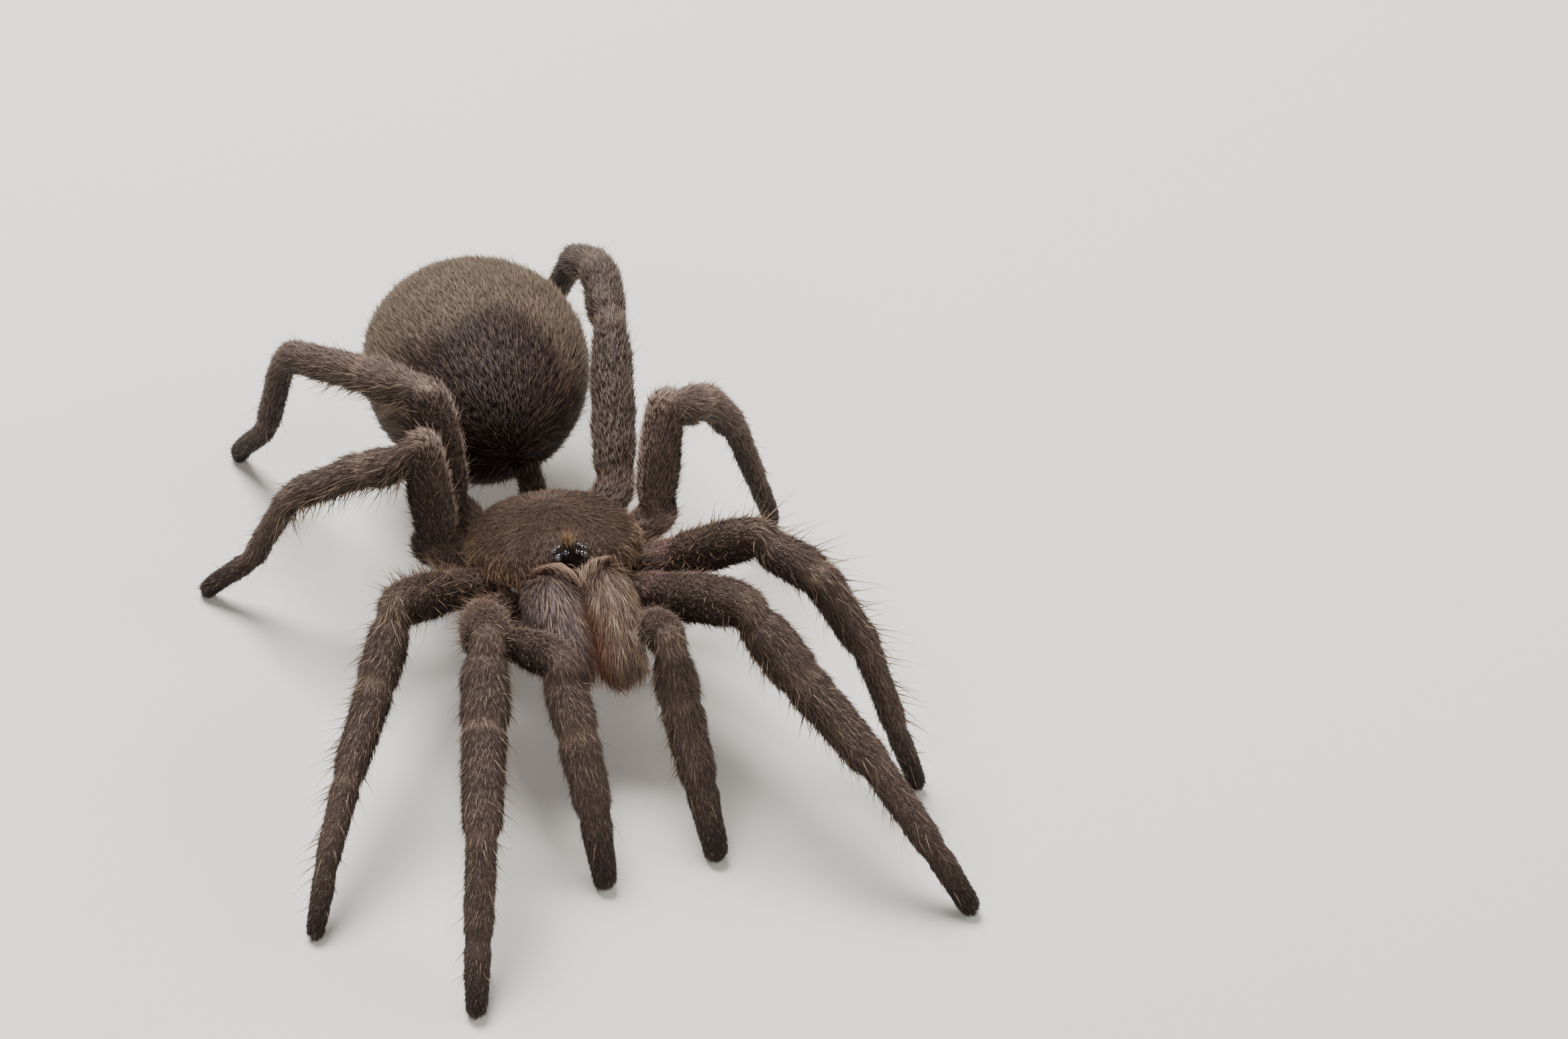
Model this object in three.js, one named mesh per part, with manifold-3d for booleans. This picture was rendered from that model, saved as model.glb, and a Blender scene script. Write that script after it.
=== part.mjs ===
// A tarantula at life size, standing still on ten feet (eight legs and two palps).
// Millimetres, +Z up. The spider faces -Y and its own left side is +X.
// Every solid is drawn out to the tips of the short coat; "l" and "r" are the spider's own sides.
import * as THREE from 'three';
import { mergeVertices } from 'three/addons/utils/BufferGeometryUtils.js';
import Module from 'manifold-3d';

const wasm = await Module();
wasm.setup();

// ---- Driving dimensions (mm and degrees) ----
const GAP = 0.3; // between pieces that touch
const EYE_GAP = 0.06; // between an eye and the tubercle it sits in
const BODY = { height: 9.6, pitch: -6, roll: -4.6 }; // stance of the body above the floor
const CARAPACE = {
  length: 17.4, width: 16.2, rim: 2.0, rimSlope: -0.06, dome: 3.7, under: 1.5, // under: depth below the rim
  caput: 2.7, // how much higher the head is than the rest
  shoulder: 0.7, waist: 0.8, // how the sides draw in towards the front, and fill out at both ends
};
const STERNUM = { x: 4.0, y: 5.6, z: 1.9, centre: [0, -0.9, -1.3] };
const TUBERCLE = { x: 1.5, y: 1.15, z: 0.95, centre: [0, -7.3, 5.9] };
const CHELICERA = {
  length: 10.6, width: 5.6, depth: 7.2, base: [2.45, -7.3, 3.9], down: 42, swing: 6,
  front: 0.55, // share of the depth that lies in front of the jaw's middle line
  taper: 0.1, // how much narrower the lower end is
};
const FANG = { length: 5.4, radius: 0.75, bend: 62, hinge: [0.9, 0.9, 1.1], curl: [0.8, 1.2, -1.9] };
const FULLNESS = 0.36; // 1 is a plain ellipsoid, less is fuller ends
const PEDICEL = { radius: 1.3, y: 9.6, from: [-3, 1.2], to: [3.2, 2.6] };
const ABDOMEN = {
  length: 28, width: 21.6, height: 18.8, centre: [-2.4, 23.2, 7.2], turn: -5,
  broader: 0.05, flatter: 0.04, // towards the rear
};
const SPINNERET = {
  radius: 0.95, taper: 0.6, shift: 1.3, splay: 0.5, forward: 2.6,
  outer: { reach: 5.6, x: 1.9, down: 3.6, drop: 0.2, size: 1 },
  inner: { reach: 3.0, x: 0.75, down: 4.9, drop: -0.6, size: 0.8 },
};
const TOE_FLAT = 0.16; // how much of each toe the floor trims off, leaving a small flat

// Where each limb leaves the body, and where its hip starts at the sternum (left side).
const ROOTS = {
  palp: { hip: [2.6, -5.8, -1.6], joint: [6.1, -10.4, -0.4] },
  leg1: { hip: [3.3, -3.9, -1.2], joint: [8.1, -8.5, 1.0] },
  leg2: { hip: [3.8, -1.3, -1.2], joint: [10.2, -3.1, 1.0] },
  leg3: { hip: [3.8, 1.4, -1.2], joint: [9.9, 3.5, 1.0] },
  leg4: { hip: [3.1, 3.9, -1.2], joint: [7.6, 9.4, 1.0] },
};

// Lengths and radii from the hip outwards: femur, patella, tibia, (metatarsus,) tarsus.
const LIMBS = {
  palp: { lengths: [10.6, 6.4, 7.2, 6.1], radii: [1.75, 1.95, 1.9, 1.5], hip: 1.7 },
  leg1: { lengths: [13.2, 8.2, 9.9, 8.5, 6.4], radii: [2.15, 2.2, 2.0, 1.55, 1.35], hip: 2.25 },
  leg2: { lengths: [12.2, 7.6, 8.5, 8.0, 6.3], radii: [2.05, 1.95, 1.75, 1.35, 1.2], hip: 2.2 },
  leg3: { lengths: [10.6, 6.5, 7.3, 8.6, 6.5], radii: [2.0, 1.85, 1.6, 1.25, 1.15], hip: 2.15 },
  leg4: { lengths: [13.9, 7.7, 10.3, 12.8, 7.3], radii: [2.1, 1.95, 1.7, 1.35, 1.2], hip: 2.25 },
};

// Pose: turn from straight ahead towards the limb's own side, lean of its plane, and the climb
// of each segment. The last but one segment has null: it is worked out so that the toe lands.
const POSES = {
  palp_r: { turn: -12, lean: -4, climb: [23, -44, null, -63] },
  palp_l: { turn: 2, lean: 5, climb: [27, -74, null, -54] },
  leg1_r: { turn: 11, lean: -5, climb: [27, -31, -26, null, -38] },
  leg1_l: { turn: 28, lean: 12, climb: [25, -40, -34, null, -53] },
  leg2_r: { turn: 31, lean: 4, climb: [27, -32, -27, null, -46] },
  leg2_l: { turn: 37, lean: 9, climb: [35, -8, -56, null, -73] },
  leg3_r: { turn: 110, lean: -7, climb: [87, -17, -28, null, -39] },
  leg3_l: { turn: 130, lean: 2, climb: [83, -14, -50, null, -66] },
  leg4_r: { turn: 141, lean: -11, climb: [92, -3, -10, null, -44] },
  leg4_l: { turn: 180, lean: 9, climb: [52, 26, -25, null, -51] },
};

// Eyes on the left half of the tubercle: place, radius.
const EYES = {
  front_middle: { at: [0.5, -8.15, 6.5], radius: 0.36 },
  front_outer: { at: [1.15, -8.0, 6.05], radius: 0.4 },
  rear_outer: { at: [1.38, -7.1, 6.1], radius: 0.36 },
  rear_middle: { at: [0.92, -7.25, 6.6], radius: 0.27 },
};

const COLOURS = { coat: 0x5d5248, belly: 0x3f352f, dark: 0x2a211c, eye: 0x101014, fang: 0x17100d };
const LEG_SIDES = 8;
const FOOT_SIDES = 7;
const FOOT_RADIUS = 1.58; // thinner bones than this have FOOT_SIDES sides
const PROFILE_STEPS = 5;
const ROUND_END = 0.75; // how far a segment's round end reaches past its joint, in radii
const END_BLUNTNESS = 2.6; // higher is blunter
const HIP_TAPER = 0.55; // a hip's radius at the sternum, as a share of its outer radius
const HIP_REACH = 0.96; // how far along to the joint the hip runs
const TOE_TAPER = 0.8;
const HAIR_GAP = 0.01; // keeps the jaws' flat inner faces off each other's cutters

// ---- Frame of the body ----
const rad = THREE.MathUtils.degToRad;
const up = new THREE.Vector3(0, 0, 1);
const pitchTurn = new THREE.Matrix4().makeRotationX(rad(BODY.pitch));
const rollTurn = new THREE.Matrix4().makeRotationY(rad(BODY.roll));
const bodyFrame = new THREE.Matrix4().makeTranslation(0, 0, BODY.height).multiply(rollTurn).multiply(pitchTurn);
const inBody = (p) => new THREE.Vector3(...p).applyMatrix4(bodyFrame);
const turnWithBody = (v) => v.clone().transformDirection(bodyFrame);

// ---- Solids ----
function toManifold(geometry) {
  const bare = geometry.clone();
  bare.deleteAttribute('normal');
  bare.deleteAttribute('uv');
  const merged = mergeVertices(bare, 1e-4);
  const vertProperties = Float32Array.from(merged.attributes.position.array);
  return new wasm.Manifold(new wasm.Mesh({ numProp: 3, vertProperties, triVerts: Uint32Array.from(merged.index.array) }));
}

function toGeometry(solid, pivot) {
  const { vertProperties, triVerts } = solid.getMesh();
  const geometry = new THREE.BufferGeometry();
  geometry.setAttribute('position', new THREE.BufferAttribute(Float32Array.from(vertProperties), 3));
  geometry.setIndex(new THREE.BufferAttribute(Uint32Array.from(triVerts), 1));
  geometry.translate(-pivot.x, -pivot.y, -pivot.z);
  geometry.computeVertexNormals();
  return geometry;
}

// A ball whose points are moved by a function of their place on the unit sphere (poles on Y).
function shapedBall(around, along, shape, frame) {
  const ball = new THREE.SphereGeometry(1, around, along);
  const position = ball.attributes.position;
  const point = new THREE.Vector3();
  for (let i = 0; i < position.count; i += 1) {
    point.fromBufferAttribute(position, i);
    shape(point);
    position.setXYZ(i, point.x, point.y, point.z);
  }
  return toManifold(ball.applyMatrix4(frame));
}

// Widens a ball towards its two ends, so that it tapers late.
const fuller = (p) => Math.max(1e-6, Math.hypot(p.x, p.z)) ** (FULLNESS - 1);

const ellipsoid = (half, grow) => (p) => p.multiply(new THREE.Vector3(...half).addScalar(grow));

// A limb segment: a turned solid with rounded ends, from one point to another.
function segment(from, to, startRadius, endRadius, grow, swell = 0.06) {
  const length = from.distanceTo(to);
  const outline = [];
  for (let i = 0; i <= PROFILE_STEPS; i += 1) {
    const along = (1 - Math.cos((Math.PI * i) / PROFILE_STEPS)) / 2;
    const radius = THREE.MathUtils.lerp(startRadius, endRadius, along) * (1 + swell * Math.sin(Math.PI * along));
    outline.push([along, radius + grow]);
  }
  const reach = [startRadius + grow, endRadius + grow];
  const y = (along) => -reach[0] * ROUND_END + along * (length + (reach[0] + reach[1]) * ROUND_END);
  const points = outline.map(([along, radius]) => {
    const end = Math.min(1, Math.sin(Math.PI * along) * END_BLUNTNESS);
    return new THREE.Vector2(radius * Math.sqrt(Math.max(0, end * (2 - end))), y(along));
  });
  points[0].x = 0;
  points[PROFILE_STEPS].x = 0;
  const lathe = new THREE.LatheGeometry(points, startRadius < FOOT_RADIUS ? FOOT_SIDES : LEG_SIDES);
  const direction = to.clone().sub(from).normalize();
  const turn = new THREE.Quaternion().setFromUnitVectors(new THREE.Vector3(0, 1, 0), direction);
  return toManifold(lathe.applyQuaternion(turn).translate(from.x, from.y, from.z));
}

// ---- Body shapes, each as a function of how much it is grown ----
function carapace(grow) {
  const shape = (p) => {
    const { length, width, rim, rimSlope, dome, under, caput, shoulder, waist } = CARAPACE;
    const front = THREE.MathUtils.smoothstep(-p.y, 0.0, 0.9);
    const half = width / 2 + waist * p.y * p.y - shoulder * Math.max(0, -p.y) + grow;
    const y = p.y * (length / 2 + grow);
    const height = p.z > 0 ? dome + caput * front : under;
    p.set(p.x * half, y, rim + rimSlope * y + p.z * (height + grow));
  };
  return shapedBall(16, 10, shape, bodyFrame);
}

function placed(centre, turnZ = 0, tiltX = 0) {
  const turn = new THREE.Matrix4().makeRotationZ(rad(turnZ));
  const tilt = new THREE.Matrix4().makeRotationX(rad(tiltX));
  return bodyFrame.clone().multiply(new THREE.Matrix4().makeTranslation(...centre)).multiply(turn).multiply(tilt);
}

function sternum(grow) {
  return shapedBall(12, 8, ellipsoid([STERNUM.x, STERNUM.y, STERNUM.z], grow), placed(STERNUM.centre));
}

function tubercle(grow) {
  return shapedBall(12, 8, ellipsoid([TUBERCLE.x, TUBERCLE.y, TUBERCLE.z], grow), placed(TUBERCLE.centre));
}

function eye(name, side, grow) {
  const { at, radius } = EYES[name];
  return shapedBall(8, 5, ellipsoid([radius, radius, radius], grow), placed([at[0] * side, at[1], at[2]]));
}

// One jaw: high and full in front, narrowing towards the fang, and flat where it meets its twin.
// Local -Y runs down the jaw.
function chelicera(side, grow) {
  const { length, width, depth, base, down, swing, front, taper } = CHELICERA;
  const inner = base[0] - GAP / 2 - HAIR_GAP + grow;
  const shape = (p) => {
    const low = 1 - taper * THREE.MathUtils.smoothstep(-p.y, -0.2, 1.0);
    const half = ((width / 2) * low + grow) * fuller(p);
    const rise = (depth * (p.z > 0 ? front : 1 - front) * low + grow) * fuller(p);
    const x = Math.max(-inner, p.x * side * half) * side;
    p.set(x, (p.y - 1) * (length / 2) + grow * p.y, p.z * rise);
  };
  return shapedBall(12, 8, shape, placed([base[0] * side, base[1], base[2]], swing, down));
}

function fang(side, grow) {
  const { length, down, base, swing } = CHELICERA;
  const { hinge, curl } = FANG;
  const ahead = length * Math.cos(rad(down));
  const x = base[0] * side * hinge[0] + ahead * Math.sin(rad(swing));
  const tip = [x, base[1] - ahead, base[2] - length * Math.sin(rad(down))];
  const start = inBody([tip[0], tip[1] + hinge[1], tip[2] + hinge[2]]);
  const end = inBody([tip[0] * curl[0], tip[1] + FANG.length * Math.cos(rad(FANG.bend)) + curl[1], tip[2] + curl[2]]);
  return segment(start, end, FANG.radius, FANG.radius * 0.5, grow, 0);
}

function pedicel(grow) {
  const { radius, y, from, to } = PEDICEL;
  return segment(inBody([0, y + from[0], from[1]]), inBody([0, y + to[0], to[1]]), radius, radius, grow);
}

function abdomen(grow) {
  const { length, width, height, centre, turn, broader, flatter } = ABDOMEN;
  const shape = (p) => {
    const wide = (width / 2) * (1 + broader * p.y) + grow;
    const high = (height / 2) * (1 - flatter * p.y) + grow;
    p.set(p.x * wide, p.y * (length / 2 + grow), p.z * high);
  };
  return shapedBall(16, 12, shape, placed(centre, turn));
}

function spinneret(side, kind, grow) {
  const { radius, taper, shift, splay, forward } = SPINNERET;
  const { reach, x, down, drop, size } = SPINNERET[kind];
  const place = [shift + side * x, ABDOMEN.length / 2 - forward, -down];
  const [fromX, fromY, fromZ] = place.map((value, i) => ABDOMEN.centre[i] + value);
  const to = inBody([fromX + side * splay, fromY + reach, fromZ + drop]);
  return segment(inBody([fromX, fromY, fromZ]), to, radius * size, radius * size * taper, grow, 0);
}

// ---- Limbs ----
// Joint points from the hip's end to the toe, with the null climb solved for the height of the toe.
function limbJoints(name, toeHeight) {
  const kind = name.slice(0, 4);
  const side = name.endsWith('_l') ? 1 : -1;
  const { lengths } = LIMBS[kind];
  const { turn, lean, climb } = POSES[name];
  const root = ROOTS[kind].joint;
  const ahead = new THREE.Vector3(side * Math.sin(rad(turn)), -Math.cos(rad(turn)), 0);
  const across = ahead.clone().cross(up);
  const rise = up.clone().multiplyScalar(Math.cos(rad(lean))).addScaledVector(across, Math.sin(rad(lean)));
  const h = turnWithBody(ahead);
  const v = turnWithBody(rise);
  const step = (length, angle) => h.clone().multiplyScalar(length * Math.cos(angle)).addScaledVector(v, length * Math.sin(angle));
  const solved = climb.indexOf(null);
  const last = step(lengths[solved + 1], rad(climb[solved + 1]));
  const points = [inBody([root[0] * side, root[1], root[2]])];
  for (let i = 0; i < solved; i += 1) points.push(points[i].clone().add(step(lengths[i], rad(climb[i]))));
  const drop = toeHeight - last.z - points[solved].z;
  const angle = Math.atan2(v.z, h.z) - Math.acos(drop / (lengths[solved] * Math.hypot(h.z, v.z)));
  points.push(points[solved].clone().add(step(lengths[solved], angle)));
  points.push(points[solved + 1].clone().add(last));
  return points;
}

function limbPieces(name) {
  const kind = name.slice(0, 4);
  const side = name.endsWith('_l') ? 1 : -1;
  const { radii, hip } = LIMBS[kind];
  let joints = limbJoints(name, radii.at(-1));
  const start = ROOTS[kind].hip;
  const base = inBody([start[0] * side, start[1], start[2]]);
  const bone = (i, grow) => {
    const next = radii[i + 1] ?? radii[i] * TOE_TAPER;
    return segment(joints[i], joints[i + 1], radii[i], (radii[i] + next) / 2, grow);
  };
  // The first try shows how low the toe's solid reaches; the second puts it on the floor.
  const lowest = bone(radii.length - 1, 0).boundingBox().min[2];
  joints = limbJoints(name, radii.at(-1) - lowest - TOE_FLAT);
  const hipEnd = base.clone().lerp(joints[0], HIP_REACH);
  const pieces = [
    [`${name}_hip`, joints[0], (g) => segment(base, hipEnd, hip * HIP_TAPER, hip, g)],
    [`${name}_femur`, joints[0], (g) => bone(0, g)],
    [`${name}_shin`, joints[1], (g) => bone(1, g).add(bone(2, g))],
  ];
  if (kind === 'palp') pieces[2] = [`${name}_shin`, joints[1], (g) => bone(1, g).add(bone(2, g)).add(bone(3, g))];
  else pieces.push([`${name}_foot`, joints[3], (g) => bone(3, g).add(bone(4, g))]);
  return pieces;
}

// ---- The order in which pieces claim their space: a later piece gives way to an earlier one ----
const sides = { r: -1, l: 1 };
const claims = [['carapace', inBody([0, 0, 0]), carapace, 'coat']];
claims.push(['eye_tubercle', inBody(TUBERCLE.centre), tubercle, 'dark']);
for (const [tag, side] of Object.entries(sides)) {
  for (const name of Object.keys(EYES)) {
    const { at } = EYES[name];
    claims.push([`eye_${name}_${tag}`, inBody([at[0] * side, at[1], at[2]]), (g) => eye(name, side, g), 'eye']);
  }
}
claims.push(['sternum', inBody(STERNUM.centre), sternum, 'belly']);
for (const [tag, side] of Object.entries(sides)) {
  claims.push([`chelicera_${tag}`, inBody(CHELICERA.base), (g) => chelicera(side, g), 'coat']);
}
for (const [tag, side] of Object.entries(sides)) {
  claims.push([`fang_${tag}`, inBody(CHELICERA.base), (g) => fang(side, g), 'fang']);
}
claims.push(['pedicel', inBody([0, PEDICEL.y, 2]), pedicel, 'belly']);
claims.push(['abdomen', inBody(ABDOMEN.centre), abdomen, 'coat']);
for (const [tag, side] of Object.entries(sides)) {
  for (const kind of ['outer', 'inner']) {
    claims.push([`spinneret_${kind}_${tag}`, inBody(ABDOMEN.centre), (g) => spinneret(side, kind, g), 'belly']);
  }
}
for (const name of Object.keys(POSES)) {
  for (const [piece, pivot, make] of limbPieces(name)) claims.push([piece, pivot, make, 'coat']);
}

// ---- Cut each piece clear of those before it and of the floor ----
const floorBox = new THREE.BoxGeometry(400, 400, 100).translate(0, 0, -50);
const floor = toManifold(floorBox);
const touches = (a, b) => {
  const first = a.boundingBox();
  const second = b.boundingBox();
  return [0, 1, 2].every((i) => first.min[i] < second.max[i] && second.min[i] < first.max[i]);
};
const largest = (solid) => solid.decompose().sort((a, b) => b.volume() - a.volume())[0];

const tarantula = new THREE.Group();
const grownSolids = [];
const materials = {};
for (const [key, color] of Object.entries(COLOURS)) {
  const shiny = key === 'eye' || key === 'fang';
  materials[key] = new THREE.MeshStandardMaterial({ color, roughness: shiny ? 0.15 : 0.9, metalness: 0 });
}
for (const [name, pivot, make, colour] of claims) {
  const gap = name === 'eye_tubercle' ? EYE_GAP : GAP;
  let solid = make(0).subtract(floor);
  for (const earlier of grownSolids) if (touches(solid, earlier)) solid = solid.subtract(earlier);
  grownSolids.push(make(gap));
  const mesh = new THREE.Mesh(toGeometry(largest(solid), pivot), materials[colour].clone());
  mesh.name = name;
  mesh.position.copy(pivot);
  tarantula.add(mesh);
}

// ---- Origin at the middle of the footprint, on the floor ----
const box = new THREE.Box3().setFromObject(tarantula);
const centre = box.getCenter(new THREE.Vector3());
tarantula.position.set(-centre.x, -centre.y, 0);

export default tarantula;
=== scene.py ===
# %% [markdown]
# # A tarantula, standing still
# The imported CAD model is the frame: its solids say where every part of the animal is and how far its
# coat reaches. This script dresses it: one skin a little inside those solids, wet black eyes, horn
# fangs and claws, and a coat of several hundred thousand small hairs that lie along the body.
# Everything is in metres, and lengths below are written in millimetres times MM.

# %% Load the frame
import math

import bpy
import bmesh
import numpy as np
from mathutils import Matrix, Vector
from mathutils.bvhtree import BVHTree
from mathutils.kdtree import KDTree


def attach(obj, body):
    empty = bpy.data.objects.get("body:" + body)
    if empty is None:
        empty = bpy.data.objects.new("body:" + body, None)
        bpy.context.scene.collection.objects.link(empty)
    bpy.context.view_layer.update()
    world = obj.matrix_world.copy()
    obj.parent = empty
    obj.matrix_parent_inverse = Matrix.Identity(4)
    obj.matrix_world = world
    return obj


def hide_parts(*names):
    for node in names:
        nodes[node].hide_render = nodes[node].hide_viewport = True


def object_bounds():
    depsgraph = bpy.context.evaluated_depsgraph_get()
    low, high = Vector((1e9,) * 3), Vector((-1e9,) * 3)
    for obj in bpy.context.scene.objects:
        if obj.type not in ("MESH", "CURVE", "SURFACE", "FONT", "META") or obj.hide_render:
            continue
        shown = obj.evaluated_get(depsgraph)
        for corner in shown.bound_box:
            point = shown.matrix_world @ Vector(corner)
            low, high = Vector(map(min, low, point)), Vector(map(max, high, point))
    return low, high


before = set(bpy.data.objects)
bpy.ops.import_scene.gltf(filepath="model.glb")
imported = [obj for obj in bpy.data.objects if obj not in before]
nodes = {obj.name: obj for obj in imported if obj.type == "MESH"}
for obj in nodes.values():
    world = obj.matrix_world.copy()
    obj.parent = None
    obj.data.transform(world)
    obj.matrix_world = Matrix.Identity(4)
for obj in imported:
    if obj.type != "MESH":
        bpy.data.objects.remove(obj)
cad_box = [list(corner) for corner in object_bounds()]
BOX_LOW, BOX_HIGH = (np.array(c) for c in cad_box)
MM = 0.001
rng = np.random.default_rng(7)
print(len(nodes), "nodes in the frame, box in mm:", [[round(v / MM, 1) for v in c] for c in cad_box])

# %% [markdown]
# ## Camera
# A camera can be placed by hand, or worked out from the direction it looks along. Here it is worked
# out: two angles and a roll turn it, a distance sets the perspective, and a place in the picture
# says where the middle of the footprint appears. Moving the camera sideways, rather than shifting
# its lens, keeps the view a plain one that can be turned round the model.

# %% Camera
PICTURE = (2367, 1568)
VIEW = {"azimuth": -18.0, "elevation": 38.0, "roll": 6.7}
DISTANCE = 445 * MM
PIXELS_PER_MM = 16.61  # at that distance
AIM_POINT = Vector((0.381, 0.287, 0.0)) * MM
AIM_PIXEL = (828, 975)
SENSOR = 36.0


def view_axes(azimuth, elevation, roll):
    a, e, r = (math.radians(v) for v in (azimuth, elevation, roll))
    look = Vector((-math.sin(a) * math.cos(e), math.cos(a) * math.cos(e), -math.sin(e)))
    right = Vector((math.cos(a), math.sin(a), 0.0))
    up = right.cross(look)
    return look, right * math.cos(r) + up * math.sin(r), up * math.cos(r) - right * math.sin(r)


def make_camera():
    look, right, up = view_axes(**VIEW)
    focal = PIXELS_PER_MM / MM * DISTANCE
    across = (AIM_PIXEL[0] - PICTURE[0] / 2) / focal * DISTANCE
    down = (AIM_PIXEL[1] - PICTURE[1] / 2) / focal * DISTANCE
    place = AIM_POINT - look * DISTANCE - right * across + up * down
    data = bpy.data.cameras.new("camera")
    data.sensor_width = SENSOR
    data.lens = SENSOR * focal / PICTURE[0]
    data.clip_start = 1 * MM
    camera = bpy.data.objects.new("camera", data)
    camera.matrix_world = Matrix.Translation(place) @ Matrix((right, up, -look)).transposed().to_4x4()
    bpy.context.scene.collection.objects.link(camera)
    bpy.context.scene.camera = camera
    return camera


camera = make_camera()
print("camera at", [round(v / MM) for v in camera.location], "mm, lens", round(camera.data.lens, 1))

# %% [markdown]
# ## Floor and light
# Fur needs soft light with a direction: a large lamp high behind the animal draws the silver edge
# along each leg, and a wide, weaker one in front opens the face. The floor is plain and pale.

# %% Floor and light
FLOOR_SIZE = 3.0
FLOOR_COLOUR = (0.62, 0.6, 0.57, 1)
WORLD_COLOUR = (0.5, 0.5, 0.52, 1)
WORLD_STRENGTH = 0.3
LAMPS = {
    "back": {"place": (-0.1, 0.34, 0.62), "size": 0.4, "power": 14.0, "colour": (1.0, 0.98, 0.96)},
    "front": {"place": (-0.3, -0.5, 0.45), "size": 0.6, "power": 3.0, "colour": (1.0, 0.95, 0.9)},
    "side": {"place": (0.55, -0.05, 0.35), "size": 0.45, "power": 2.6, "colour": (1.0, 0.95, 0.9)},
}


def plain_material(name, colour, roughness):
    material = bpy.data.materials.new(name)
    material.use_nodes = True
    shader = material.node_tree.nodes["Principled BSDF"]
    shader.inputs["Base Color"].default_value = colour
    shader.inputs["Roughness"].default_value = roughness
    return material


def make_floor():
    half = FLOOR_SIZE / 2
    mesh = bpy.data.meshes.new("floor")
    corners = [(-half, -half, 0), (half, -half, 0), (half, half, 0), (-half, half, 0)]
    mesh.from_pydata(corners, [], [(0, 1, 2, 3)])
    mesh.materials.append(plain_material("floor_paper", FLOOR_COLOUR, 0.9))
    floor = bpy.data.objects.new("floor", mesh)
    bpy.context.scene.collection.objects.link(floor)


def make_lamp(name, place, size, power, colour):
    data = bpy.data.lights.new(name, "AREA")
    data.shape = "DISK"
    data.size = size
    data.energy = power
    data.color = colour
    lamp = bpy.data.objects.new(name, data)
    lamp.location = place
    lamp.rotation_euler = (-Vector(place)).to_track_quat("-Z", "Y").to_euler()
    bpy.context.scene.collection.objects.link(lamp)


make_floor()
for lamp_name, settings in LAMPS.items():
    make_lamp(lamp_name, **settings)
world = bpy.data.worlds.new("studio")
world.use_nodes = True
world.node_tree.nodes["Background"].inputs["Color"].default_value = WORLD_COLOUR
world.node_tree.nodes["Background"].inputs["Strength"].default_value = WORLD_STRENGTH
bpy.context.scene.world = world
print("floor", FLOOR_SIZE, "m wide, lamps:", ", ".join(LAMPS))

# %% [markdown]
# ## Reading the frame
# The coat lies along each limb, so the script needs the middle line of every limb. It could repeat
# the sizes of the CAD source, but then the two could drift apart. Instead it measures the solids:
# points are scattered on a limb's pieces, sliced along its length, and each slice's middle is one
# point of the line. The mean distance to that point is the limb's radius there.

# %% Measure the solids
LIMB_KINDS = ("palp", "leg1", "leg2", "leg3", "leg4")
LIMBS = [f"{kind}_{side}" for kind in LIMB_KINDS for side in "rl"]
SLICE = 1.1 * MM
END_MARGIN = 0.9 * MM
TOE_MARGIN = 0.35 * MM
TOE_REACH = 0.55 * MM
STRAIGHT = 0.25  # pieces that meet at less than this angle, in radians, share no corner


def unit(v):
    return v / np.maximum(np.linalg.norm(v, axis=-1, keepdims=True), 1e-12)


def mesh_arrays(mesh):
    co = np.empty(len(mesh.vertices) * 3, np.float32)
    mesh.vertices.foreach_get("co", co)
    mesh.calc_loop_triangles()
    tri = np.empty(len(mesh.loop_triangles) * 3, np.int32)
    mesh.loop_triangles.foreach_get("vertices", tri)
    return co.reshape(-1, 3).astype(float), tri.reshape(-1, 3)


def triangle_areas(co, tri):
    a, b, c = (co[tri[:, k]] for k in range(3))
    return np.linalg.norm(np.cross(b - a, c - a), axis=1) / 2


def scatter(co, tri, count, weight=None):
    """Evenly spread random points on triangles: which triangle, and the three corner weights."""
    area = triangle_areas(co, tri)
    if weight is not None:
        area = area * weight
    reach = np.cumsum(area)
    steps = (np.arange(count) + rng.random(count)) / count * reach[-1]
    pick = np.minimum(np.searchsorted(reach, steps), len(tri) - 1)
    u, v = rng.random(count), rng.random(count)
    flip = u + v > 1
    u[flip], v[flip] = 1 - u[flip], 1 - v[flip]
    return pick, np.stack([1 - u - v, u, v], 1)


def node_points(name, count=5000):
    co, tri = mesh_arrays(nodes[name].data)
    pick, weights = scatter(co, tri, count)
    return np.einsum("nk,nkd->nd", weights, co[tri[pick]])


def slices(name, start, margins):
    """Middle points and radii along a piece, in order from the end nearest start."""
    points = node_points(name)
    middle = points.mean(0)
    axis = np.linalg.svd(points - middle, full_matrices=False)[2][0]
    if (start - middle) @ axis > 0:
        axis = -axis
    along = (points - middle) @ axis
    low, high = along.min() + margins[0], along.max() - margins[1]
    edges = np.linspace(low, high, max(3, round((high - low) / SLICE)) + 1)
    groups = [points[(along >= a) & (along < b)] for a, b in zip(edges[:-1], edges[1:])]
    centres = np.array([g.mean(0) for g in groups])
    ahead = unit(np.gradient(centres, axis=0))
    spokes = [(g - c) - ((g - c) @ t)[:, None] * t for g, c, t in zip(groups, centres, ahead)]
    return centres, np.array([np.linalg.norm(s, axis=1).mean() for s in spokes])


def meeting_point(first, second):
    """Where the middle lines of two pieces meet."""
    p, u = first[-1], unit(first[-1] - first[-2])
    q, v = second[0], unit(second[1] - second[0])
    if np.arccos(np.clip(u @ v, -1, 1)) < STRAIGHT:
        return (p + q) / 2
    w, b = p - q, u @ v
    s = (b * (v @ w) - u @ w) / (1 - b * b)
    t = (v @ w - b * (u @ w)) / (1 - b * b)
    return (p + s * u + q + t * v) / 2


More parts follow.
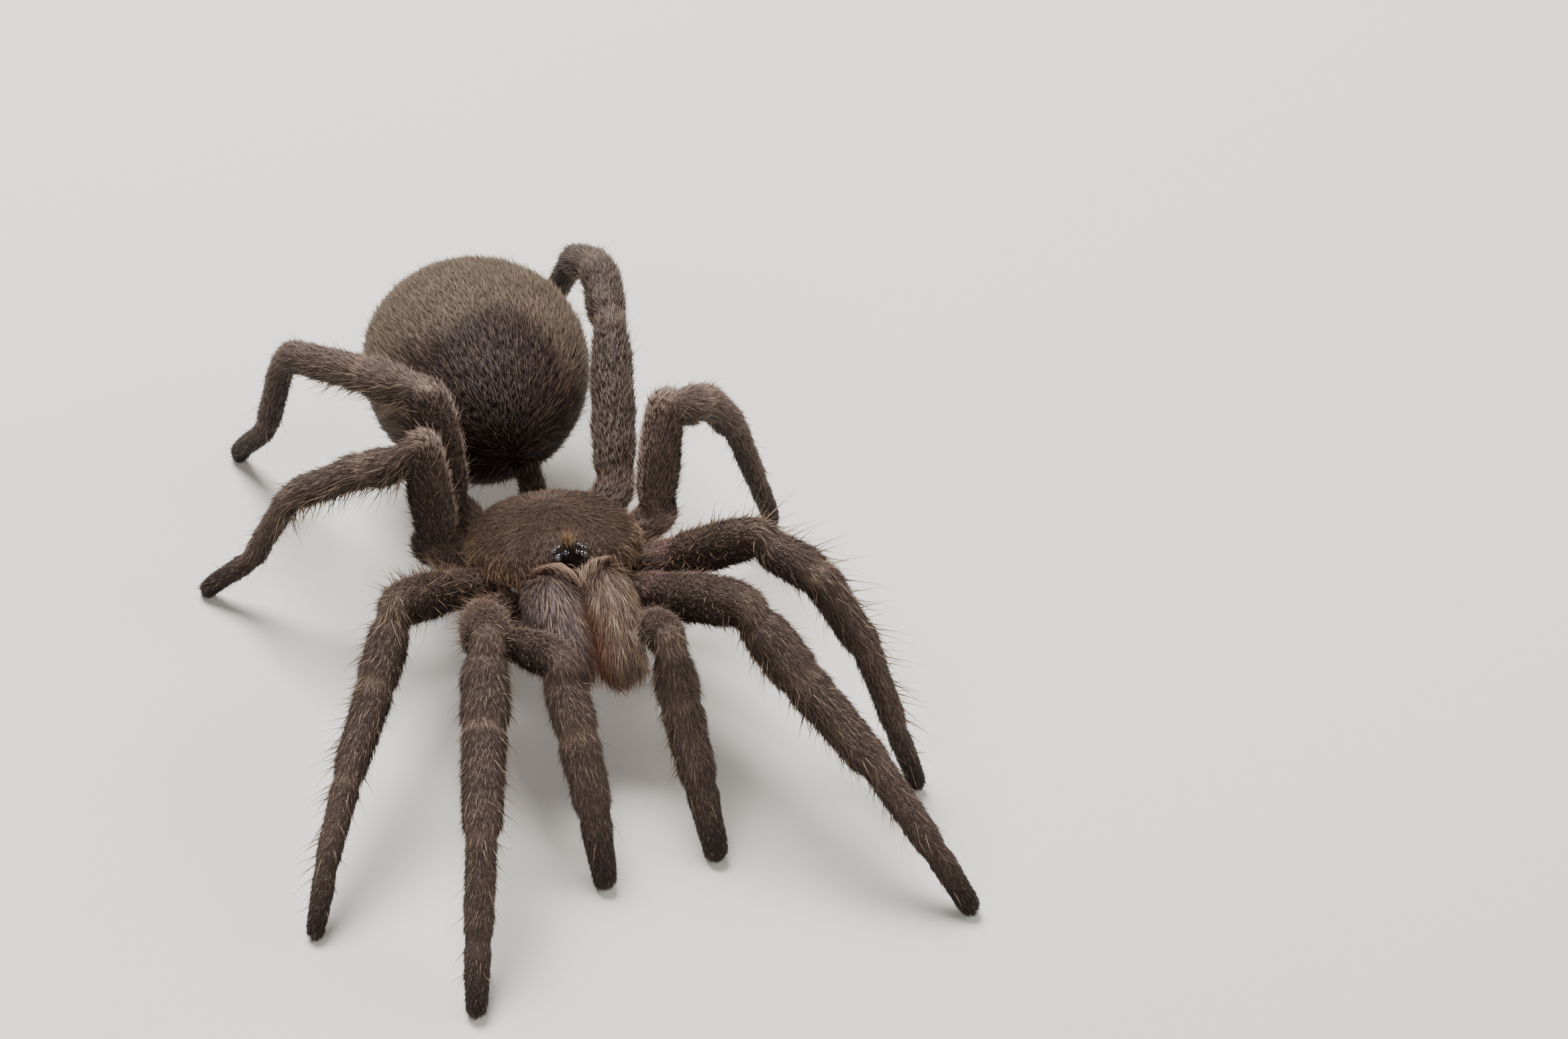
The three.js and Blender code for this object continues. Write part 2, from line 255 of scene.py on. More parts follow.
def smooth(values, steps):
    for _ in range(steps):
        inner = (values[:-2] + 2 * values[1:-1] + values[2:]) / 4
        values = np.concatenate([values[:1], inner, values[-1:]])
    return values


def limb_line(limb):
    """The limb's middle line, radii, and the distance along it of each joint."""
    parts = [p for p in ("hip", "femur", "shin", "foot") if f"{limb}_{p}" in nodes]
    points, radii, joints = [], [], {}
    start = node_points("sternum").mean(0)
    for part in parts:
        last = part == parts[-1]
        centres, r = slices(f"{limb}_{part}", start, (END_MARGIN, TOE_MARGIN if last else END_MARGIN))
        if points:
            joints[part] = len(points)
            points.append(meeting_point(np.array(points), centres))
            radii.append((radii[-1] + r[0]) / 2)
        points.extend(centres)
        radii.extend(r)
        start = centres[-1]
    points.append(points[-1] + unit(points[-1] - points[-2]) * TOE_REACH)
    radii.append(radii[-1])
    points, radii = np.array(points), np.array(radii)
    run = np.concatenate([[0], np.cumsum(np.linalg.norm(np.diff(points, axis=0), axis=1))])
    joints = {name: run[i] for name, i in joints.items()}
    return points, radii, run, joints


RESAMPLE = 0.35 * MM
LINE_SMOOTHING = 5
RADIUS_SMOOTHING = 12
# Joints inside a piece, as a fraction of the way along it.
INNER_JOINTS = {
    "leg": {"shin": {"tibia": 0.45}, "foot": {"tarsus": 0.58}},
    "palp": {"shin": {"tibia": 0.33, "tarsus": 0.68}},
}


class Limb:
    def __init__(self, name):
        points, radii, run, joints = limb_line(name)
        ends = dict(zip(joints, list(joints.values())[1:] + [run[-1]]))
        kind = "palp" if name.startswith("palp") else "leg"
        for piece, inner in INNER_JOINTS[kind].items():
            for joint, share in inner.items():
                joints[joint] = joints[piece] * (1 - share) + ends[piece] * share
        self.name = name
        self.joints = joints
        self.run = np.arange(0, run[-1], RESAMPLE)
        line = np.stack([np.interp(self.run, run, points[:, i]) for i in range(3)], 1)
        self.line = smooth(line, LINE_SMOOTHING)
        self.radius = smooth(np.interp(self.run, run, radii), RADIUS_SMOOTHING)
        self.ahead = unit(np.gradient(self.line, axis=0))
        reach = self.line[-1] - self.line[0]
        level = unit(np.array([reach[0], reach[1], 0.0]))
        side = np.cross(level, [0, 0, 1.0])
        self.side = unit(side - (self.ahead @ side)[:, None] * self.ahead)
        self.back = np.cross(self.side, self.ahead)  # the limb's upper surface


limbs = {name: Limb(name) for name in LIMBS}
for limb in limbs.values():
    marks = {k: round(v / MM, 1) for k, v in limb.joints.items()}
    print(limb.name, "length", round(limb.run[-1] / MM, 1), "mm, joints at", marks)

# %% [markdown]
# The trunk has its own frame, because the animal stands a little nose up and leans to one side.
# Patterns on the carapace and abdomen are written in it: x to its left, y to the rear, z up, in
# millimetres from the middle of the carapace at the level of its lower edge.

# %% The trunk's own frame
BODY_PITCH = -6.0
BODY_ROLL = -4.6
body_turn = np.array(
    Matrix.Rotation(math.radians(BODY_ROLL), 3, "Y") @ Matrix.Rotation(math.radians(BODY_PITCH), 3, "X")
)
carapace_points = mesh_arrays(nodes["carapace"].data)[0] @ body_turn
body_origin = (carapace_points.min(0) + carapace_points.max(0)) / 2
body_origin[2] = carapace_points[:, 2].min()


def in_body(points):
    """Places in the trunk's frame, in millimetres."""
    return (points @ body_turn - body_origin) / MM


def from_body(points):
    return (np.asarray(points, float) * MM + body_origin) @ body_turn.T


def from_body_direction(vectors):
    return np.asarray(vectors, float) @ body_turn.T


for name in ("carapace", "abdomen", "chelicera_l", "chelicera_r", "eye_tubercle"):
    inside = in_body(mesh_arrays(nodes[name].data)[0])
    print(name, inside.min(0).round(1), inside.max(0).round(1))

# %% [markdown]
# ## Skin
# The real animal has one soft skin over jointed cuticle. It could be modelled as a cage and
# subdivided, but ten limbs meet in a small trunk, and their junctions are hard to keep clean. Here
# each limb is a tube round its measured line, the trunk's solids are softened, all of them are
# drawn in by the depth of the coat, and a voxel remesh welds them into one closed surface.

# %% Skin helpers
VOXEL = 0.3 * MM
WELD_VOXEL = 0.325 * MM
TUBE_SIDES = 24
# How far the skin lies inside the solids, in mm. The thinnest pieces are grown a little instead,
# because the weld would break them.
COAT_DEPTH = {
    "limb": 0.24, "carapace": 0.3, "abdomen": 0.4, "jaw": 0.22,
    "eye": -0.06, "small": 0.1, "spinneret": -0.12,
}
SPOKE_SHARE = 0.93  # measured mean distance for a radius of 1, set a little low for full limbs
LIMB_WIDTH = 0.95  # a limb's width, as a share of its height
CREASE = {"depth": 0.09, "width": 0.45}
SWELL = {"height": 0.045, "width": 1.0, "offset": 1.3}
TOE_ROUND = 0.7
TOE_END = 0.02  # keeps the last ring of a limb from closing to a point
MERGE = 1e-3 * MM


def hill(values, at, width):
    """A soft hill of height 1 round a place."""
    return np.exp(-(((values - at) / width) ** 2))


def new_object(name, mesh):
    thing = bpy.data.objects.new(name, mesh)
    bpy.context.scene.collection.objects.link(thing)
    return thing


def mesh_from(name, co, faces):
    mesh = bpy.data.meshes.new(name)
    mesh.from_pydata([tuple(p) for p in co], [], [tuple(f) for f in faces])
    mesh.update()
    return mesh


def finished(thing, steps):
    """Applies modifiers given as (type, settings) and returns the plain mesh."""
    for kind, values in steps:
        modifier = thing.modifiers.new(kind.lower(), kind)
        for key, value in values.items():
            setattr(modifier, key, value)
    depsgraph = bpy.context.evaluated_depsgraph_get()
    mesh = bpy.data.meshes.new_from_object(thing.evaluated_get(depsgraph))
    old = thing.data
    bpy.data.objects.remove(thing)
    bpy.data.meshes.remove(old)
    return mesh


def tube(line, radius, side, back, flatten):
    """A closed tube with round ends: rings of points, and one point at each end."""
    angles = np.linspace(0, 2 * np.pi, TUBE_SIDES, endpoint=False)
    across = np.cos(angles)[None, :, None] * side[:, None] * flatten
    spokes = across + np.sin(angles)[None, :, None] * back[:, None]
    rings = line[:, None] + spokes * radius[:, None, None]
    count = len(line)
    co = np.concatenate([rings.reshape(-1, 3), line[:1], line[-1:]])
    faces = []
    for i in range(count - 1):
        near, far = i * TUBE_SIDES, (i + 1) * TUBE_SIDES
        for j in range(TUBE_SIDES):
            k = (j + 1) % TUBE_SIDES
            faces.append((near + j, near + k, far + k, far + j))
    first, last = count * TUBE_SIDES, count * TUBE_SIDES + 1
    for j in range(TUBE_SIDES):
        k = (j + 1) % TUBE_SIDES
        faces.append((k, j, first))
        faces.append(((count - 1) * TUBE_SIDES + j, (count - 1) * TUBE_SIDES + k, last))
    return co, faces


def limb_skin(limb):
    run = limb.run / MM
    radius = limb.radius / SPOKE_SHARE / MM
    for joint in ("tibia", "foot", "tarsus"):
        if joint in limb.joints:
            at = limb.joints[joint] / MM
            radius = radius * (1 - CREASE["depth"] * hill(run, at, CREASE["width"]))
            for shift in (-SWELL["offset"], SWELL["offset"]):
                radius = radius * (1 + SWELL["height"] * hill(run - at, shift, SWELL["width"]))
    radius = radius - COAT_DEPTH["limb"]
    left = np.clip((run[-1] - run) / TOE_ROUND, 0, 1)
    radius = radius * np.sqrt(np.clip(1 - (1 - left) ** 2, TOE_END, 1))
    return mesh_from(limb.name, *tube(limb.line, radius * MM, limb.side, limb.back, LIMB_WIDTH))


def softened(name, depth, rounds):
    """A trunk solid with its facets smoothed away, drawn in by the coat's depth."""
    copy = nodes[name].data.copy()
    work = bmesh.new()
    work.from_mesh(copy)
    bmesh.ops.remove_doubles(work, verts=work.verts, dist=MERGE)
    work.to_mesh(copy)
    work.free()
    copy.materials.clear()
    return finished(new_object(name + "_soft", copy), [
        ("REMESH", {"mode": "VOXEL", "voxel_size": VOXEL}),
        ("SMOOTH", {"factor": 0.5, "iterations": rounds}),
        ("DISPLACE", {"strength": -depth * MM, "mid_level": 0.0}),
    ])


# %% [markdown]
# The carapace is the one hard plate with features of its own: a pit in the middle, where the
# muscles of the stomach hold on, furrows that run out from it to the legs, and two that mark off
# the raised head. They are small shifts of the softened plate, written as functions.

# %% Carapace features
FOVEA = {"y": 2.4, "across": 1.5, "along": 0.55, "depth": 0.75}
FURROWS = {"count": 10, "depth": 0.26, "sharp": 3, "end": 8, "fade": 3}
HEAD_GROOVE = {"start": 1.2, "spread": 0.42, "width": 0.8, "depth": 0.55, "fade": 2}
PLATE_TOP = {"from": 2.2, "fade": 1.5}  # below this height the plate's steep rim stays plain


def carapace_features(mesh):
    co, _ = mesh_arrays(mesh)
    local = in_body(co)
    x, y = local[:, 0], local[:, 1] - FOVEA["y"]
    top = np.clip((local[:, 2] - PLATE_TOP["from"]) / PLATE_TOP["fade"], 0, 1)
    pit = FOVEA["depth"] * np.exp(-((x / FOVEA["across"]) ** 2 + (y / FOVEA["along"]) ** 2))
    away = np.hypot(x, y)
    angle = np.arctan2(x, -y)
    rays = (0.5 + 0.5 * np.cos(FURROWS["count"] * angle)) ** FURROWS["sharp"]
    furrow = FURROWS["depth"] * rays * np.clip(away / FURROWS["fade"], 0, 1)
    furrow = furrow * np.clip((FURROWS["end"] - away) / FURROWS["fade"], 0, 1)
    aside = np.abs(x) - HEAD_GROOVE["start"] - HEAD_GROOVE["spread"] * (-y)
    groove = HEAD_GROOVE["depth"] * hill(aside, 0, HEAD_GROOVE["width"])
    groove = groove * np.clip(-y / HEAD_GROOVE["fade"], 0, 1)
    local[:, 2] -= top * (pit + furrow + groove)
    mesh.vertices.foreach_set("co", from_body(local).astype(np.float32).ravel())
    mesh.update()
    return mesh


# %% [markdown]
# Now the pieces are welded. The tubes of the limbs and the softened trunk overlap, and a voxel
# remesh keeps only their common outside, as one closed surface. Which piece each point came from
# is kept aside, because the weld forgets it.

# %% Weld the skin
# Trunk nodes: the region they belong to, the coat's depth there, and rounds of smoothing.
TRUNK = {
    "carapace": ("carapace", "carapace", 10),
    "abdomen": ("abdomen", "abdomen", 30),
    "chelicera_r": ("jaw_r", "jaw", 4),
    "chelicera_l": ("jaw_l", "jaw", 4),
    "eye_tubercle": ("tubercle", "eye", 1),
    "sternum": ("belly", "small", 3),
    "pedicel": ("belly", "small", 3),
}
for place in ("outer", "inner"):
    for side in "rl":
        TRUNK[f"spinneret_{place}_{side}"] = ("spinneret", "spinneret", 1)
REGIONS = LIMBS + ["carapace", "abdomen", "jaw_r", "jaw_l", "tubercle", "belly", "spinneret"]
weld_co, weld_region = [], []


def make_skin():
    parts = [(limb_skin(limb), name) for name, limb in limbs.items()]
    for node, (region, depth, rounds) in TRUNK.items():
        mesh = softened(node, COAT_DEPTH[depth], rounds)
        parts.append((carapace_features(mesh) if node == "carapace" else mesh, region))
    work = bmesh.new()
    for mesh, region in parts:
        co, _ = mesh_arrays(mesh)
        weld_co.extend(co)
        weld_region.extend([REGIONS.index(region)] * len(co))
        work.from_mesh(mesh)
        bpy.data.meshes.remove(mesh)
    parts_mesh = bpy.data.meshes.new("skin")
    work.to_mesh(parts_mesh)
    work.free()
    mesh = finished(new_object("skin_parts", parts_mesh), [
        ("REMESH", {"mode": "VOXEL", "voxel_size": WELD_VOXEL}),
        ("SMOOTH", {"factor": 0.5, "iterations": 3}),
    ])
    mesh.name = "skin"
    return new_object("skin", mesh)


# %% [markdown]
# The toes have to meet the floor, and the skin has to stay inside the frame's box with room for the
# coat. It could be cut off flat where it reaches too high, but fur can't grow on a cut at the top
# of the box, and a bald disc shows. So each toe is drawn down over a short height, and whatever
# comes near the top is pressed down softly.

# %% Set the skin down
TOE_GAP = 0.05 * MM
TOE_HEIGHT = 1.6 * MM
SIDE_GAP = 0.02 * MM
KNEE_ROOM = 0.35 * MM  # left under the box's top for the coat on the highest knee
KNEE_SOFT = 0.8 * MM


def set_down(mesh):
    """Draws each toe to just above the floor and keeps the skin inside the frame's box."""
    points, _ = mesh_arrays(mesh)
    for limb in limbs.values():
        near = np.linalg.norm(points - limb.line[-1], axis=1) < 2 * TOE_HEIGHT
        lift = points[near, 2].min() - TOE_GAP
        share = np.clip((points[near, 2] - points[near, 2].min()) / TOE_HEIGHT, 0, 1)
        points[near, 2] -= lift * (1 - share)
    ceiling = BOX_HIGH[2] - KNEE_ROOM
    over = points[:, 2] > ceiling - KNEE_SOFT
    above = points[over, 2] - ceiling + KNEE_SOFT
    points[over, 2] = ceiling - KNEE_SOFT * np.exp(-above / KNEE_SOFT)
    points = np.clip(points, BOX_LOW + [SIDE_GAP, SIDE_GAP, TOE_GAP], BOX_HIGH - SIDE_GAP)
    mesh.vertices.foreach_set("co", points.astype(np.float32).ravel())
    mesh.update()


skin = make_skin()
set_down(skin.data)
skin_co, skin_tri = mesh_arrays(skin.data)
print("skin:", len(skin_co), "points,", len(skin_tri), "triangles")

# %% [markdown]
# ## Which part is where
# Everything after this asks of a place on the skin: which part of the animal is it, how far along,
# on which side, and which way does the coat lie there? The welded skin has forgotten its parts, so
# each of its points takes the name of the nearest point of the pieces that were welded.

# %% Places on the skin
FOVEA_POINT = np.array([0.0, FOVEA["y"], 6.0])
ABDOMEN_FRONT = np.array([-0.6, 9.0, 1.5])
ABDOMEN_REAR = np.array([-4.6, 37.0, 3.0])
JAW_ROOT = {"r": np.array([-2.2, -3.5, 7.5]), "l": np.array([2.6, -3.5, 7.5])}
JAW_DOWN = math.radians(42)  # how steeply the jaws point down
JAW_TIP = {"r": np.array([-1.9, -15.0, -6.0]), "l": np.array([3.0, -15.0, -6.0])}
PLATE_FLAT = [1, 1, 0.3]  # on the carapace the coat runs outwards rather than up
HEAD = {"rear": 1.0, "fade": 3, "half_width": 4.5, "side_fade": 2}
HEAD_LIE = np.array([0, -1.0, -0.1])
LIE = {"tubercle": [0, -0.35, 0.94], "belly": [0.0, 1.0, 0.0], "spinneret": [0.0, 1.0, 0.0]}


def skin_regions():
    tree = KDTree(len(weld_co))
    for i, point in enumerate(weld_co):
        tree.insert(point, i)
    tree.balance()
    return np.array([weld_region[tree.find(point)[1]] for point in skin_co])


def flow(points, source, sink):
    """Directions that leave one place and gather at another, like a coat from neck to tail."""
    return unit(unit(points - source) + unit(sink - points))


def trunk_lie(region, local):
    if region == "abdomen":
        return flow(local, ABDOMEN_FRONT, ABDOMEN_REAR)
    if region.startswith("jaw"):
        return flow(local, JAW_ROOT[region[-1]], JAW_TIP[region[-1]])
    if region == "carapace":
        outward = unit((local - FOVEA_POINT) * PLATE_FLAT)
        head = np.clip((-local[:, 1] - HEAD["rear"]) / HEAD["fade"], 0, 1)
        inside = np.clip((HEAD["half_width"] - np.abs(local[:, 0])) / HEAD["side_fade"], 0, 1)
        head = (head * inside)[:, None]
        return unit(outward * (1 - head) + HEAD_LIE * head)
    return np.tile(LIE[region], (len(local), 1))


class Places:
    """Points on the skin, with what the coat needs to know about each."""

    def __init__(self, pick, weights):
        corners = skin_tri[pick]
        blend = lambda values: np.einsum("nk,nkd->nd", weights, values[corners])
        self.point = blend(skin_co)
        self.normal = unit(blend(skin_normal))
        self.region = skin_region[corners[np.arange(len(pick)), weights.argmax(1)]]
        self.local = in_body(self.point)
        count = len(pick)
        self.lie = np.zeros((count, 3))
        self.run = np.zeros(count)  # mm along a limb
        self.share = np.zeros(count)  # 0 to 1 along a limb
        self.top = np.zeros(count)  # 1 on a limb's upper side, -1 below
        self.front = np.zeros(count)  # 1 on its one flank, -1 on the other
        self.unwrap = np.zeros((count, 2))
        for index, region in enumerate(REGIONS):
            here = np.flatnonzero(self.region == index)
            if region in limbs:
                self.place_on_limb(here, limbs[region], index)
            else:
                self.lie[here] = from_body_direction(trunk_lie(region, self.local[here]))
                self.unwrap_trunk(here, index)
        flat = self.lie - (self.lie * self.normal).sum(1)[:, None] * self.normal
        self.lie = unit(flat)
        self.cross = np.cross(self.normal, self.lie)

    def place_on_limb(self, here, limb, index):
        point = self.point[here]
        gap = ((point[:, None] - limb.line[None]) ** 2).sum(2)
        nearest = gap.argmin(1)
        spoke = point - limb.line[nearest]
        back = (spoke * limb.back[nearest]).sum(1)
        side = (spoke * limb.side[nearest]).sum(1)
        size = np.maximum(np.hypot(back, side), 1e-9)
        self.lie[here] = limb.ahead[nearest]
        self.run[here] = limb.run[nearest] / MM
        self.share[here] = limb.run[nearest] / limb.run[-1]
        self.top[here] = back / size
        self.front[here] = side / size
        self.unwrap[here] = atlas(index, np.arctan2(side, back) / (2 * np.pi) + 0.5, self.share[here])

    def unwrap_trunk(self, here, index):
        local = self.local[here]
        if not len(here):
            return
        low, high = local.min(0), local.max(0)
        ball = unit((local - (low + high) / 2) / (high - low))
        around = np.arctan2(ball[:, 0], ball[:, 2]) / (2 * np.pi) + 0.5
        self.unwrap[here] = atlas(index, around, np.arccos(np.clip(ball[:, 1], -1, 1)) / np.pi)


ATLAS_CELLS = 5
ATLAS_MARGIN = 0.08


def atlas(index, u, v):
    """A place in the square that each part has to itself on the unwrapped skin."""
    column, row = index % ATLAS_CELLS, index // ATLAS_CELLS
    inner = 1 - 2 * ATLAS_MARGIN
    return np.stack([column + ATLAS_MARGIN + inner * u, row + ATLAS_MARGIN + inner * v], 1) / ATLAS_CELLS


def vertex_normals(mesh):
    values = np.empty(len(mesh.vertices) * 3, np.float32)
    mesh.vertex_normals.foreach_get("vector", values)
    return values.reshape(-1, 3).astype(float)


skin_normal = vertex_normals(skin.data)
skin_region = skin_regions()
corner_pick = np.zeros(len(skin_co), int)
corner_pick[skin_tri.ravel()] = np.repeat(np.arange(len(skin_tri)), 3)
corner_weights = (skin_tri[corner_pick] == np.arange(len(skin_co))[:, None]).astype(float)
skin_places = Places(corner_pick, corner_weights)
print({region: int((skin_region == i).sum()) for i, region in enumerate(REGIONS)})

# %% [markdown]
# ## Colour
# One function gives the colour of any place, and both the skin and the hairs that grow there ask
# it, so markings run through the coat. Colours are named as seen on a screen and turned into the
# linear values that a shader works with.

# %% Colours
TONES = {
    # The limbs' top tone is painted light, and their underside tone is painted shade.
    "leg_lit_top": (107, 90, 82),
    "leg_flank": (81, 65, 58),
    "leg_shaded_below": (54, 41, 35),
    "foot": (44, 33, 29),
    "joint": (150, 128, 112),
    "membrane": (176, 140, 140),
    "carapace": (90, 71, 60),
    "carapace_edge": (118, 93, 76),
    "head": (98, 80, 68),
    "mound": (52, 38, 31),
    "jaw": (132, 115, 115),
    "jaw_warm": (144, 121, 106),
    "jaw_streak": (212, 192, 168),
    "jaw_cleft": (168, 94, 60),
    # The next tone is painted shade on the jaws' tops, under the brow fringe.
    "jaw_fringe_shade": (70, 52, 46),
    "jaw_tip": (56, 38, 32),
    # The abdomen's top tone is painted light.
    "abdomen_lit_top": (94, 79, 66),
    "abdomen_side": (74, 60, 50),
    # The abdomen's front tone is partly dark hair and partly painted shade.
    "abdomen_front_dark_and_shade": (44, 27, 23),
    "belly": (64, 50, 44),
    "lash": (176, 142, 128),
    "straw": (206, 174, 136),
    "orange": (196, 126, 80),
}


def linear(tone):
    values = np.asarray(tone, float) / 255
    return np.where(values <= 0.04045, values / 12.92, ((values + 0.055) / 1.055) ** 2.4)


PAINT = {name: linear(tone) for name, tone in TONES.items()}
print(len(PAINT), "tones")


def mix(a, b, amount):
    amount = np.clip(amount, 0, 1)[..., None]
    return a * (1 - amount) + b * amount


def step(value, low, high):
    t = np.clip((value - low) / (high - low), 0, 1)
    return t * t * (3 - 2 * t)


WAVES = {"count": 6, "stretch": (0.7, 1.5), "turn": 6.28, "height": 3.5}


def waves(points, size, seed):
    """A soft random pattern: a sum of sine waves in random directions, from -1 to 1."""
    source = np.random.default_rng(seed)
    total = np.zeros(len(points))
    for _ in range(WAVES["count"]):
        direction = unit(source.normal(size=3)) * source.uniform(*WAVES["stretch"])
        total += np.sin(points @ direction * (2 * np.pi / size) + source.uniform(0, WAVES["turn"]))
    return total / WAVES["height"]


# %% [markdown]
# ### Markings and painted light
# The limbs are painted paler on top and darker below, painted light on their tops and painted shade
# underneath, with dark feet, a pale ring at each joint and bare pinkish membrane at the root. The
# abdomen is olive, with painted light on its top and a dark front that is partly dark hair and partly
# painted shade, and the jaws are silvery on one side and warm on the other, with painted shade on
# their tops under the brow fringe. An image could carry this, but a few soft steps and hills along
# the limb or the trunk give clean edges at any size.

# %% Markings of the limbs
# Soft steps from and to a height on the limb's side, which is 1 on top and -1 below.
# The lighter top is painted light and the darker underside is painted shade.
LIT_TOP_FADE = (0.0, 0.85)
SHADE_BELOW_FADE = (0.1, 0.8)
RING_FADE = (-0.4, 0.5)
ROOT_FADE = (-0.2, 0.5)
FOOT = {"before": 3, "amount": 0.85}
RINGS = {"tibia": 0.8, "shin": 0.45, "foot": 0.4}
RING_WIDTH = 0.55
ROOT_WIDTH = 1.2
# How much bare membrane shows at a limb's root, and whole limbs painted darker or lighter than the rest:
# painted shade on leg4_l and painted light on leg3_l.
MEMBRANE = {"leg1_l": 0.6, "leg2_l": 0.5, "palp_l": 0.4}
MEMBRANE_ELSEWHERE = 0.25
LIMB_PAINTED_SHADE_AND_LIGHT = {"leg4_l": 0.62, "leg3_l": 1.2}


def limb_tint(places, here, limb):
    top, run = places.top[here], places.run[here]
    # Painted light on the limb's top, then painted shade underneath.
    colour = mix(PAINT["leg_flank"], PAINT["leg_lit_top"], step(top, *LIT_TOP_FADE))
    colour = mix(colour, PAINT["leg_shaded_below"], step(-top, *SHADE_BELOW_FADE))
    start = limb.joints["tarsus"] / MM - FOOT["before"]
    colour = mix(colour, PAINT["foot"], FOOT["amount"] * step(run, start, limb.run[-1] / MM))
    for joint, strength in RINGS.items():
        if joint in limb.joints:
            band = hill(run, limb.joints[joint] / MM, RING_WIDTH)
            colour = mix(colour, PAINT["joint"], strength * band * step(top, *RING_FADE))
    root = hill(run, limb.joints["femur"] / MM, ROOT_WIDTH)
    amount = MEMBRANE.get(limb.name, MEMBRANE_ELSEWHERE) * root * step(top, *ROOT_FADE)
    colour = mix(colour, PAINT["membrane"], amount)
    # Painted shade on leg4_l and painted light on leg3_l, over the whole limb.
    return colour * LIMB_PAINTED_SHADE_AND_LIGHT.get(limb.name, 1.0)


# %% Markings of the trunk
# Rear edge of the abdomen's dark front, which is partly dark hair and partly painted shade: a tongue
# reaches back at the middle, and below the shoulders the edge slopes forwards. Lengths are in the
# trunk's millimetres.
# Heights over which the abdomen's top is painted lighter than its sides, as painted light from above.
ABDOMEN_LIT_TOP = (4, 13)
FRONT_DARK_AND_SHADE = {"edge": 17.6, "soft": 2.0, "tongue": 1.4, "tongue_at": -0.9, "tongue_width": 2.5}
SHOULDER = {"height": 12.5, "slope": 0.45, "deepest": 8}
FRONT_DARK_AND_SHADE_SIDES = {"right": 0.35, "right_from": 8, "left": 0.5, "left_from": 1, "widest": 5}
EDGE_WAVER = {"amount": 0.5, "size": 9, "seed": 5}
# Across the jaws x runs from the silvery side to the warm one, and down runs along their fronts.
JAW_WARM = (-2.0, 2.5)
JAW_LIT = {"from": 3.8, "to": 5.2, "amount": 0.6}
STREAKS = {"per_mm": 5.5, "wander": 1.2, "blur": 0.5, "from": 0.25, "to": 1.3}
STREAK_AMOUNT = {"cool": 0.15, "warm": 0.45}
JAW_FRONT = {"forward": 7.3, "height": 3.5}
CLEFT = {"at": 0.05, "slant": 0.1, "width": 0.85, "from": 1.5, "to": 4, "amount": 0.7}
# Where the painted shade under the brow fringe lies on the jaws' tops.
JAW_FRINGE_SHADE_FADE = {"from": -2.2, "to": -0.6, "amount": 0.8}
JAW_TIP_FADE = {"from": 7.2, "to": 10.0, "amount": 0.85}
CARAPACE_HALF = (8.1, 8.7)
EDGE_FADE = (0.72, 0.98)
HEAD_FADE = (2, 5)
PATCHES = ((0.1, 5, 3), (0.06, 1.6, 4))  # amount, size in mm and seed


def abdomen_tint(local):
    x, y, z = local.T
    # Painted light on the top of the abdomen.
    colour = mix(PAINT["abdomen_side"], PAINT["abdomen_lit_top"], step(z, *ABDOMEN_LIT_TOP))
    tongue = hill(x, FRONT_DARK_AND_SHADE["tongue_at"], FRONT_DARK_AND_SHADE["tongue_width"])
    below = np.clip(SHOULDER["height"] - z, 0, SHOULDER["deepest"])
    edge = FRONT_DARK_AND_SHADE["edge"] + FRONT_DARK_AND_SHADE["tongue"] * tongue - SHOULDER["slope"] * below
    right = FRONT_DARK_AND_SHADE_SIDES["right"] * np.clip(-x - FRONT_DARK_AND_SHADE_SIDES["right_from"], 0, FRONT_DARK_AND_SHADE_SIDES["widest"])
    left = FRONT_DARK_AND_SHADE_SIDES["left"] * np.clip(x - FRONT_DARK_AND_SHADE_SIDES["left_from"], 0, FRONT_DARK_AND_SHADE_SIDES["widest"])
    edge += right - left + EDGE_WAVER["amount"] * waves(local, EDGE_WAVER["size"], EDGE_WAVER["seed"])
    # The dark front: partly dark hair, partly painted shade.
    dark = 1 - step(y, edge - FRONT_DARK_AND_SHADE["soft"], edge + FRONT_DARK_AND_SHADE["soft"])
    return mix(colour, PAINT["abdomen_front_dark_and_shade"], dark)


def faded(value, fade):
    return fade["amount"] * step(value, fade["from"], fade["to"])


def jaw_tint(local):
    x, y, z = local.T
    wave = np.sin(x * STREAKS["per_mm"] + STREAKS["wander"] * waves(local, 5, 11))
    wave = wave + STREAKS["blur"] * waves(local, 2.5, 12)
    streak = step(wave, STREAKS["from"], STREAKS["to"])
    warm = step(x, *JAW_WARM)
    colour = mix(PAINT["jaw"], PAINT["jaw_warm"], warm)
    streak = (STREAK_AMOUNT["cool"] + STREAK_AMOUNT["warm"] * warm) * streak
    colour = mix(colour, PAINT["jaw_streak"], streak)
    colour = mix(colour, PAINT["jaw_streak"], faded(x, JAW_LIT))
    down = (-y - JAW_FRONT["forward"]) * math.cos(JAW_DOWN) - (z - JAW_FRONT["height"]) * math.sin(JAW_DOWN)
    cleft = CLEFT["amount"] * hill(x - CLEFT["at"], CLEFT["slant"] * down, CLEFT["width"])
    colour = mix(colour, PAINT["jaw_cleft"], cleft * step(down, CLEFT["from"], CLEFT["to"]))
    # Painted shade on the jaws' tops, under the brow fringe.
    colour = mix(colour, PAINT["jaw_fringe_shade"], faded(-down, JAW_FRINGE_SHADE_FADE))
    return mix(colour, PAINT["jaw_tip"], faded(down, JAW_TIP_FADE))


def edge_share(local):
    """0 at the middle of the carapace and 1 at its edge."""
    return np.hypot(local[:, 0] / CARAPACE_HALF[0], local[:, 1] / CARAPACE_HALF[1])


